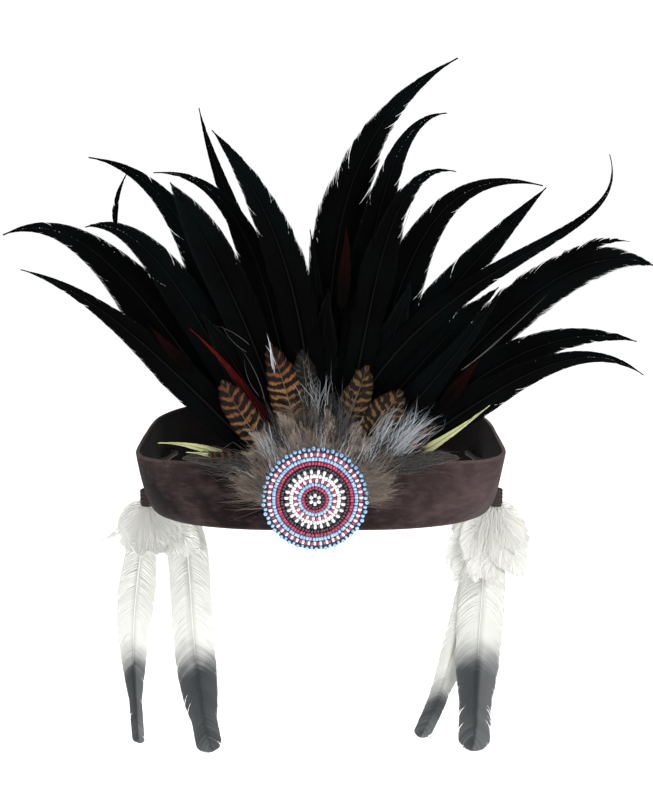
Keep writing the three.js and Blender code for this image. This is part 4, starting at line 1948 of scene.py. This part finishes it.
    def build(self, rng: Chance) -> None:
        """Grows the plume and dresses it.

        Args:
            rng: where the chance in the barbs comes from.
        """
        strands = Strands()
        root = (self.pad.x, Layer.PLUME.value, self.pad.z)
        for row in self.rows:
            own = replace(row, root_width=self.root_width, tip_width=self.tip_width, blunt=self.blunt)
            self.vane.grow(strands, own, root, rng, Plumage.QUILL)
        self.small_feathers(strands, rng)
        for tuft in (*self.fringe(rng), *self.streaks):
            tuft.grow(strands, rng)
        for points in strands.points:
            from_middle = np.hypot(points[:, 0] - self.pad.x, points[:, 2] - self.rosette_z)
            covered = np.clip((self.covered - from_middle) / 1.5, 0, 1)
            points[:, 1] += (np.maximum(points[:, 1], self.behind) - points[:, 1]) * covered
        plume = strands.mesh("barred_body_feathers")
        pad = self.pad.model(Layer.PLUME)
        finishes = [finish.material() for finish in self.finishes]
        dress(plume, finishes)
        dress(pad, finishes, Plumage.PAD)
        whole = Bench.join("barred_body_feathers", [plume, pad])
        hand_over(whole, "barred_plume")


@dataclass
class Accents:
    """The two cream feathers and the red hackle."""

    vane: Vane = Vane(
        pitch=0.42, lead=2.6, relief=0.07, ragged=0.12, shaft_root=0.4, shaft_tip=0.1, clump=(3, 8)
    )
    cream: PlainVane = PlainVane("cream_vane", (0.3, 0.3, 0.14), (0.43, 0.45, 0.22))
    cream_shaft: Quill = Quill("cream_quill", (0.03, 0.024, 0.012), (0.2, 0.18, 0.08))
    red: PlainVane = PlainVane(
        "red_vane", (0.014, 0.0007, 0.001), (0.08, 0.004, 0.003), 0.4, 1.0, gloss=0.03
    )
    red_shaft: Quill = Quill("red_quill", (0.012, 0.002, 0.002), (0.05, 0.004, 0.003), 0.6, 0.05)
    second_blade: Feather = Feather(
        (-32, 30), (-46, 42), (-66, 44), -104, 6, 0.5, 1, root_width=0.5, tip_width=0.06
    )

    def build(self, rng: Chance) -> None:
        """Grows the three feathers and dresses them.

        Args:
            rng: where the chance in the barbs comes from.
        """
        shared = {"root_width": 0.5, "tip_width": 0.06}
        cream = [self.cream.material(), self.cream_shaft.material()]
        red = [self.red.material(), self.red_shaft.material()]
        table = (
            ("cream_feather_left", "cream_feather", (-16, 24), cream,
             Feather((-34, 32), (-52, 48), (-80, 48.5), -103, 8, 0.45, 1, **shared)),
            ("cream_feather_right", "cream_feather", (10, 24), cream,
             Feather((34, 32), (58, 45), (83.5, 67), -101, 6.5, 0.5, 1, **shared)),
            ("red_hackle", "red_feather", (-12, 31), red,
             Feather((-24, 52), (-36, 80), (-63.5, 105.5), -103, 6, 0.45, 1.1, **shared)),
        )
        for node, slot, start, finishes, row in table:
            strands = Strands()
            root = (start[0], Layer.ACCENT.value, start[1])
            self.vane.grow(strands, row, root, rng, Fan.SHAFT)
            if node == "cream_feather_left":
                self.vane.grow(strands, self.second_blade, root, rng, Fan.SHAFT)
            piece = strands.mesh(node + "_vane")
            dress(piece, finishes)
            hand_over(piece, node)


# Side plumes and their laces


class Side(Enum):
    """The wearer's sides as the camera sees them, by the sign of x."""

    LEFT = -1
    RIGHT = 1


class Plume(IntEnum):
    """The finishes of a side plume, by material number, after those of its two feathers."""

    DOWN = 2
    BINDING = 3


@dataclass
class Lace:
    """The leather lace through the two slits of one side."""

    diameter: float = 2.6
    length: float = 77.0
    leather: Leather = Leather("lace_leather", (0.014, 0.009, 0.007), (0.045, 0.028, 0.021))
    route: tuple[Point, ...] = (
        (101.6, 7.6, -3.6), (101.3, 8.2, 0.5), (100.4, 9.6, 5.6), (98.6, 11.2, 10.4), (95.2, 11.9, 12),
        (91.9, 12.8, 12), (90.4, 16, 12), (89.7, 20, 12), (88.7, 24.5, 12), (87.4, 29, 12), (87.8, 31.4, 12),
        (90.4, 32.1, 12), (94.0, 31.9, 12), (97.4, 30.2, 9.8), (99.6, 25.6, 6), (101.2, 19.2, 2),
        (102.4, 13.2, -0.8), (102.9, 11, -3.6),
    )

    def build(self, side: Side) -> None:
        """Models and dresses one side's lace.

        Args:
            side: the side.
        """
        points = np.array(self.route) * (side.value, 1, 1) * MM
        curve = bpy.data.curves.new("lace_cord_" + side.name.lower(), "CURVE")
        curve.dimensions = "3D"
        curve.bevel_depth = self.diameter / 2 * MM
        curve.bevel_resolution = 3
        curve.use_fill_caps = True
        spline = curve.splines.new("POLY")
        fine = self.through(points)
        spline.points.add(len(fine) - 1)
        spline.points.foreach_set("co", np.column_stack([fine, np.ones(len(fine))]).ravel())
        spline.use_smooth = True
        lace = show(curve.name, curve)
        curve.materials.append(self.leather.material())
        hand_over(lace, "lace_" + side.name.lower())

    @staticmethod
    def through(points: Array, between: int = 4) -> Array:
        """A smooth line through points.

        Args:
            points: the points.
            between: how many steps there are from each to the next.

        Returns:
            The line's points.
        """
        padded = np.concatenate([2 * points[:1] - points[1:2], points, 2 * points[-1:] - points[-2:-1]])
        line = []
        for index in range(len(points) - 1):
            a, b, c, d = padded[index : index + 4]
            for t in np.linspace(0, 1, between, endpoint=False):
                line.append(
                    b + 0.5 * t * (c - a + t * (2 * a - 5 * b + 4 * c - d + t * (3 * (b - c) + d - a)))
                )
        return np.array([*line, points[-1]])


@dataclass
class SidePlume:
    """Two dipped white feathers and a puff of down on a wrapped head."""

    head_radius: float = 4.4
    head_height: float = 10.0
    head_top: float = -4.8
    head_x: float = 102.3
    head_y: float = 9.3
    wraps: int = 8
    vane: Vane = Vane(
        pitch=0.55, lead=1.15, relief=0.03, bare=0.1, loose=0.12, loose_until=0.6, loose_fade=1.2,
        clump=(5, 16), cohesion=0.06, splits=5, split_gap=0.9, ragged=0.04, shaft_root=0.6, shaft_tip=0.16,
        camber=0.08, shaft_until=0.95, rounding=0.75, overlap=2.0,
    )
    fluff: Vane = Vane(
        pitch=0.42, lead=1.1, relief=0.03, bare=0.02, loose=0.3, loose_until=2.2, clump=(3, 8), cohesion=0.1,
        ragged=0.07, overlap=2.4, shaft_root=0.12, shaft_tip=0.06, camber=0.04, fray=0.25, splits=1,
    )
    # Painted light and shade: the two puffs are copies of one down; the left one is painted lighter, where
    # the band shades it from the key light, and the right one darker, where the key light falls full on it.
    down: dict[Side, Down] = field(default_factory=lambda: {
        Side.LEFT: Down("white_down_left", (0.93, 0.93, 0.88), (0.96, 0.96, 0.91)),
        Side.RIGHT: Down("white_down_right", (0.76, 0.76, 0.715), (0.83, 0.83, 0.785)),
    })
    binding: Thread = Thread("plume_binding", (0.018, 0.011, 0.009))
    # Painted light and shade: the two sides are copies of one white vane; the right ones are painted darker,
    # where the key light falls, and the left ones, at the defaults, lighter, where less light reaches.
    feathers: dict[Side, tuple[tuple[float, Feather, DippedVane], ...]] = field(default_factory=lambda: {
        Side.RIGHT: (
            (100,
             Feather((96, -48), (93.5, -111), (92, -164), 3, 29, 0.44, 3.5, 10, tip_width=0.7, ragged=0.05),
             DippedVane("dipped_right_front", -104.5, -1, (0.64, 0.645, 0.605), (0.58, 0.585, 0.545))),
            (98,
             Feather((93, -50), (84, -110), (62, -165), 20, 18, 0.5, 3, -14, tip_width=0.72, ragged=0.04),
             DippedVane("dipped_right_back", -130.0, 0, (0.64, 0.645, 0.605), (0.58, 0.585, 0.545))),
        ),
        Side.LEFT: (
            (-104,
             Feather((-108, -76), (-117, -68), (-112.5, -166), 14, 23, 0.45, 2.2, 10, tip_width=0.36),
             DippedVane("dipped_left_back", -108.0, -1)),
            (-96,
             Feather((-68, -26), (-86.5, -68), (-67.5, -165), 2, 25, 0.42, 9, -12, tip_width=0.64),
             DippedVane("dipped_left_front", -104.0)),
        ),
    })
    locks: dict[Side, tuple[Point, ...]] = field(default_factory=lambda: {
        Side.RIGHT: (
            (16, 48, 6), (18, 38, 12), (6, 40, -4), (-23, 50, 4), (-28, 42, 6), (-24, 22, 14), (-13, 46, -6),
            (-3, 48, -7), (-12, 44, 24), (8, 45, 25), (-18, 34, 0), (12, 30, 0),
        ),
        Side.LEFT: (
            (-15, 29, 8), (-11, 31, 4), (-9, 29, 20), (-3, 31, -5), (7, 30, -6), (18, 27, 2), (30, 31, 4),
            (23, 35, 8), (12, 33, 24), (-3, 33, 24), (-7, 25, 0), (14, 31, -3),
        ),
    })
    spike: Feather = Feather(
        (-108, -20), (-118, -32), (-130, -35.5), 6, 8, 0.35, 1.2, root_width=0.6, tip_width=0.1,
        finish=Plume.DOWN,
    )
    lock_width: float = 22.0
    root_width: float = 0.35

    def lock(self, root: Point, out: float, drop: float, depth: float) -> Feather:
        """One lock of the puff, which spreads from the root and hangs down.

        Args:
            root: where it starts.
            out: how far to the right of the root it ends.
            drop: how far below the root it ends.
            depth: the y of its end.

        Returns:
            The lock.
        """
        x, _, z = root
        return Feather(
            (x + out * 0.25, z - drop * 0.3),
            (x + out * 0.6, z - drop * 0.7),
            (x + out, z - drop),
            depth,
            self.lock_width,
            0.55,
            2.0,
            root_width=0.42,
            tip_width=0.16,
            finish=Plume.DOWN,
            blunt=0.5,
        )

    def head(self, side: Side) -> Piece:
        """The wrapped head: a core and turns of binding round it.

        Args:
            side: the side.

        Returns:
            The head.
        """
        x, y = side.value * self.head_x * MM, self.head_y * MM
        Bench.clear()
        bpy.ops.mesh.primitive_cylinder_add(
            vertices=20,
            radius=(self.head_radius - 0.8) * MM,
            depth=self.head_height * MM,
            location=(x, y, (self.head_top - self.head_height / 2) * MM),
        )
        core = bpy.context.object
        Bench.bevel(core, 0.9, 3)
        step = self.head_height / (self.wraps + 0.6)
        parts = [core]
        for index in range(self.wraps):
            z = self.head_top - step * (index + 0.8)
            bpy.ops.mesh.primitive_torus_add(
                major_segments=24,
                minor_segments=7,
                major_radius=(self.head_radius - 0.75) * MM,
                minor_radius=0.66 * MM,
                location=(x, y, z * MM),
                rotation=(math.radians(5), math.radians(4 if index % 2 else -3), 0),
            )
            parts.append(bpy.context.object)
        whole = Bench.join("head", parts)
        Bench.settle(whole)
        Bench.smooth(whole)
        return whole

    def build(self, side: Side, rng: Chance) -> None:
        """Grows one side's plume and dresses it.

        Args:
            side: the side.
            rng: where the chance in the barbs comes from.
        """
        strands = Strands()
        root = (side.value * self.head_x, self.head_y, self.head_top - self.head_height / 2)
        finishes = []
        for index, (root_x, row, dipped) in enumerate(self.feathers[side]):
            own = replace(row, root_width=self.root_width, finish=index)
            self.vane.grow(strands, own, (root_x, root[1], root[2]), rng, index)
            finishes.append(dipped.material())
        low = (root[0], root[1], self.head_top - self.head_height + 1.5)
        for out, drop, depth in self.locks[side]:
            self.fluff.grow(strands, self.lock(root, out, drop, depth), low, rng, Plume.DOWN)
            end = (root[0] + out * 1.08, depth, root[2] - drop * 1.05)
            Tuft(low, end, 0.2, 90, Plume.DOWN, 0.09, 0.12, 1.6, 0.7).grow(strands, rng)
        if side is Side.LEFT:
            self.fluff.grow(strands, self.spike, root, rng, Plume.DOWN)
        plume = strands.mesh("white_feathers_" + side.name.lower())
        head = self.head(side)
        finishes += [self.down[side].material(), self.binding.material()]
        dress(plume, finishes)
        dress(head, finishes, Plume.BINDING)
        whole = Bench.join(plume.name, [plume, head])
        hand_over(whole, "white_plume_" + side.name.lower())


# Studio


@dataclass
class Studio:
    """The camera at the photograph's angle, the pale floor and the soft light."""

    picture: Pair = (653, 800)
    aim: Point = (3.0, -92.0, 68.0)
    distance: float = 650.0
    pitch: float = 11.0
    pixels_per_mm: float = 2.0
    floor_height: float = -250.0
    room_light: float = 0.4
    backdrop: float = 1.05

    def camera(self) -> None:
        """Sets up the camera."""
        data = bpy.data.cameras.new("photo_camera")
        data.sensor_fit = "HORIZONTAL"
        data.sensor_width = 36.0
        data.lens = data.sensor_width * self.distance * self.pixels_per_mm / self.picture[0]
        data.clip_start = 0.01
        made = show("photo_camera", data)
        down = math.radians(self.pitch)
        back = np.array((0.0, -math.cos(down), math.sin(down))) * self.distance
        made.location = (np.array(self.aim) + back) * MM
        made.rotation_euler = (math.pi / 2 - down, 0.0, 0.0)
        bpy.context.scene.camera = made

    def floor(self) -> None:
        """Lays the floor."""
        Bench.clear()
        bpy.ops.mesh.primitive_plane_add(size=12.0, location=(0, 0, self.floor_height * MM))
        plane = bpy.context.object
        plane.name = "studio_floor"
        Bench.settle(plane)
        recipe = Recipe("studio_floor")
        tint = recipe.noise(3.0, 1.0)
        colour = recipe.mix(tint, (0.9, 0.9, 0.9), (0.94, 0.94, 0.94))
        dress(plane, [recipe.finish({
            "Base Color": colour,
            "Roughness": 0.9,
            "Specular IOR Level": 0.1,
            "Emission Color": (1.0, 1.0, 1.0),
            "Emission Strength": 0.66,
        })])

    def light(self, name: str, place: Point, size: float, watts: float) -> None:
        """Hangs a soft square light that looks at the headdress.

        Args:
            name: its name.
            place: where it hangs, in metres.
            size: its side, in metres.
            watts: its power.
        """
        data = bpy.data.lights.new(name, "AREA")
        data.size = size
        data.energy = watts
        made = show(name, data)
        made.location = place
        look = np.array((0.0, -0.05, 0.03)) - np.array(place)
        flat = math.hypot(look[0], look[1])
        made.rotation_euler = (math.atan2(flat, -look[2]), 0.0, math.atan2(-look[0], look[1]))

    def world(self) -> None:
        """The room's even light, which the camera sees as white."""
        recipe = Recipe("studio", "worlds")
        seen = recipe.value("ShaderNodeLightPath", None, {}, "Is Camera Ray")
        shares = {"Value": seen, "To Min": self.room_light, "To Max": self.backdrop}
        strength = recipe.value("ShaderNodeMapRange", None, shares)
        glow = recipe.node("ShaderNodeBackground", None, {"Color": (1.0, 1.0, 1.0), "Strength": strength})
        recipe.node("ShaderNodeOutputWorld", None, {"Surface": glow.outputs[0]})
        bpy.context.scene.world = recipe.holder

    def build(self) -> None:
        """Sets up the studio."""
        self.camera()
        self.floor()
        self.world()
        self.light("key", (0.8, -1.0, 0.7), 0.6, 17.0)
        self.light("fill", (-0.8, -1.2, 0.0), 0.8, 8.5)
        self.light("top", (0.0, 0.3, 1.5), 1.2, 12.0)
        settings = bpy.context.scene.view_settings
        settings.view_transform = "Standard"
        settings.look = "None"


def main() -> None:
    """Builds the headdress and its studio, piece by piece."""
    logging.basicConfig(level=logging.INFO, format="%(message)s")
    Studio().build()
    for side in Side:
        Lace().build(side)
    Headband().build()
    Rosette().build(np.random.default_rng(11))
    TailFan().build(np.random.default_rng(23))
    BarredPlume().build(np.random.default_rng(37))
    Accents().build(np.random.default_rng(41))
    for side in Side:
        SidePlume().build(side, np.random.default_rng(53 + side.value))


if __name__ == "__main__":
    main()
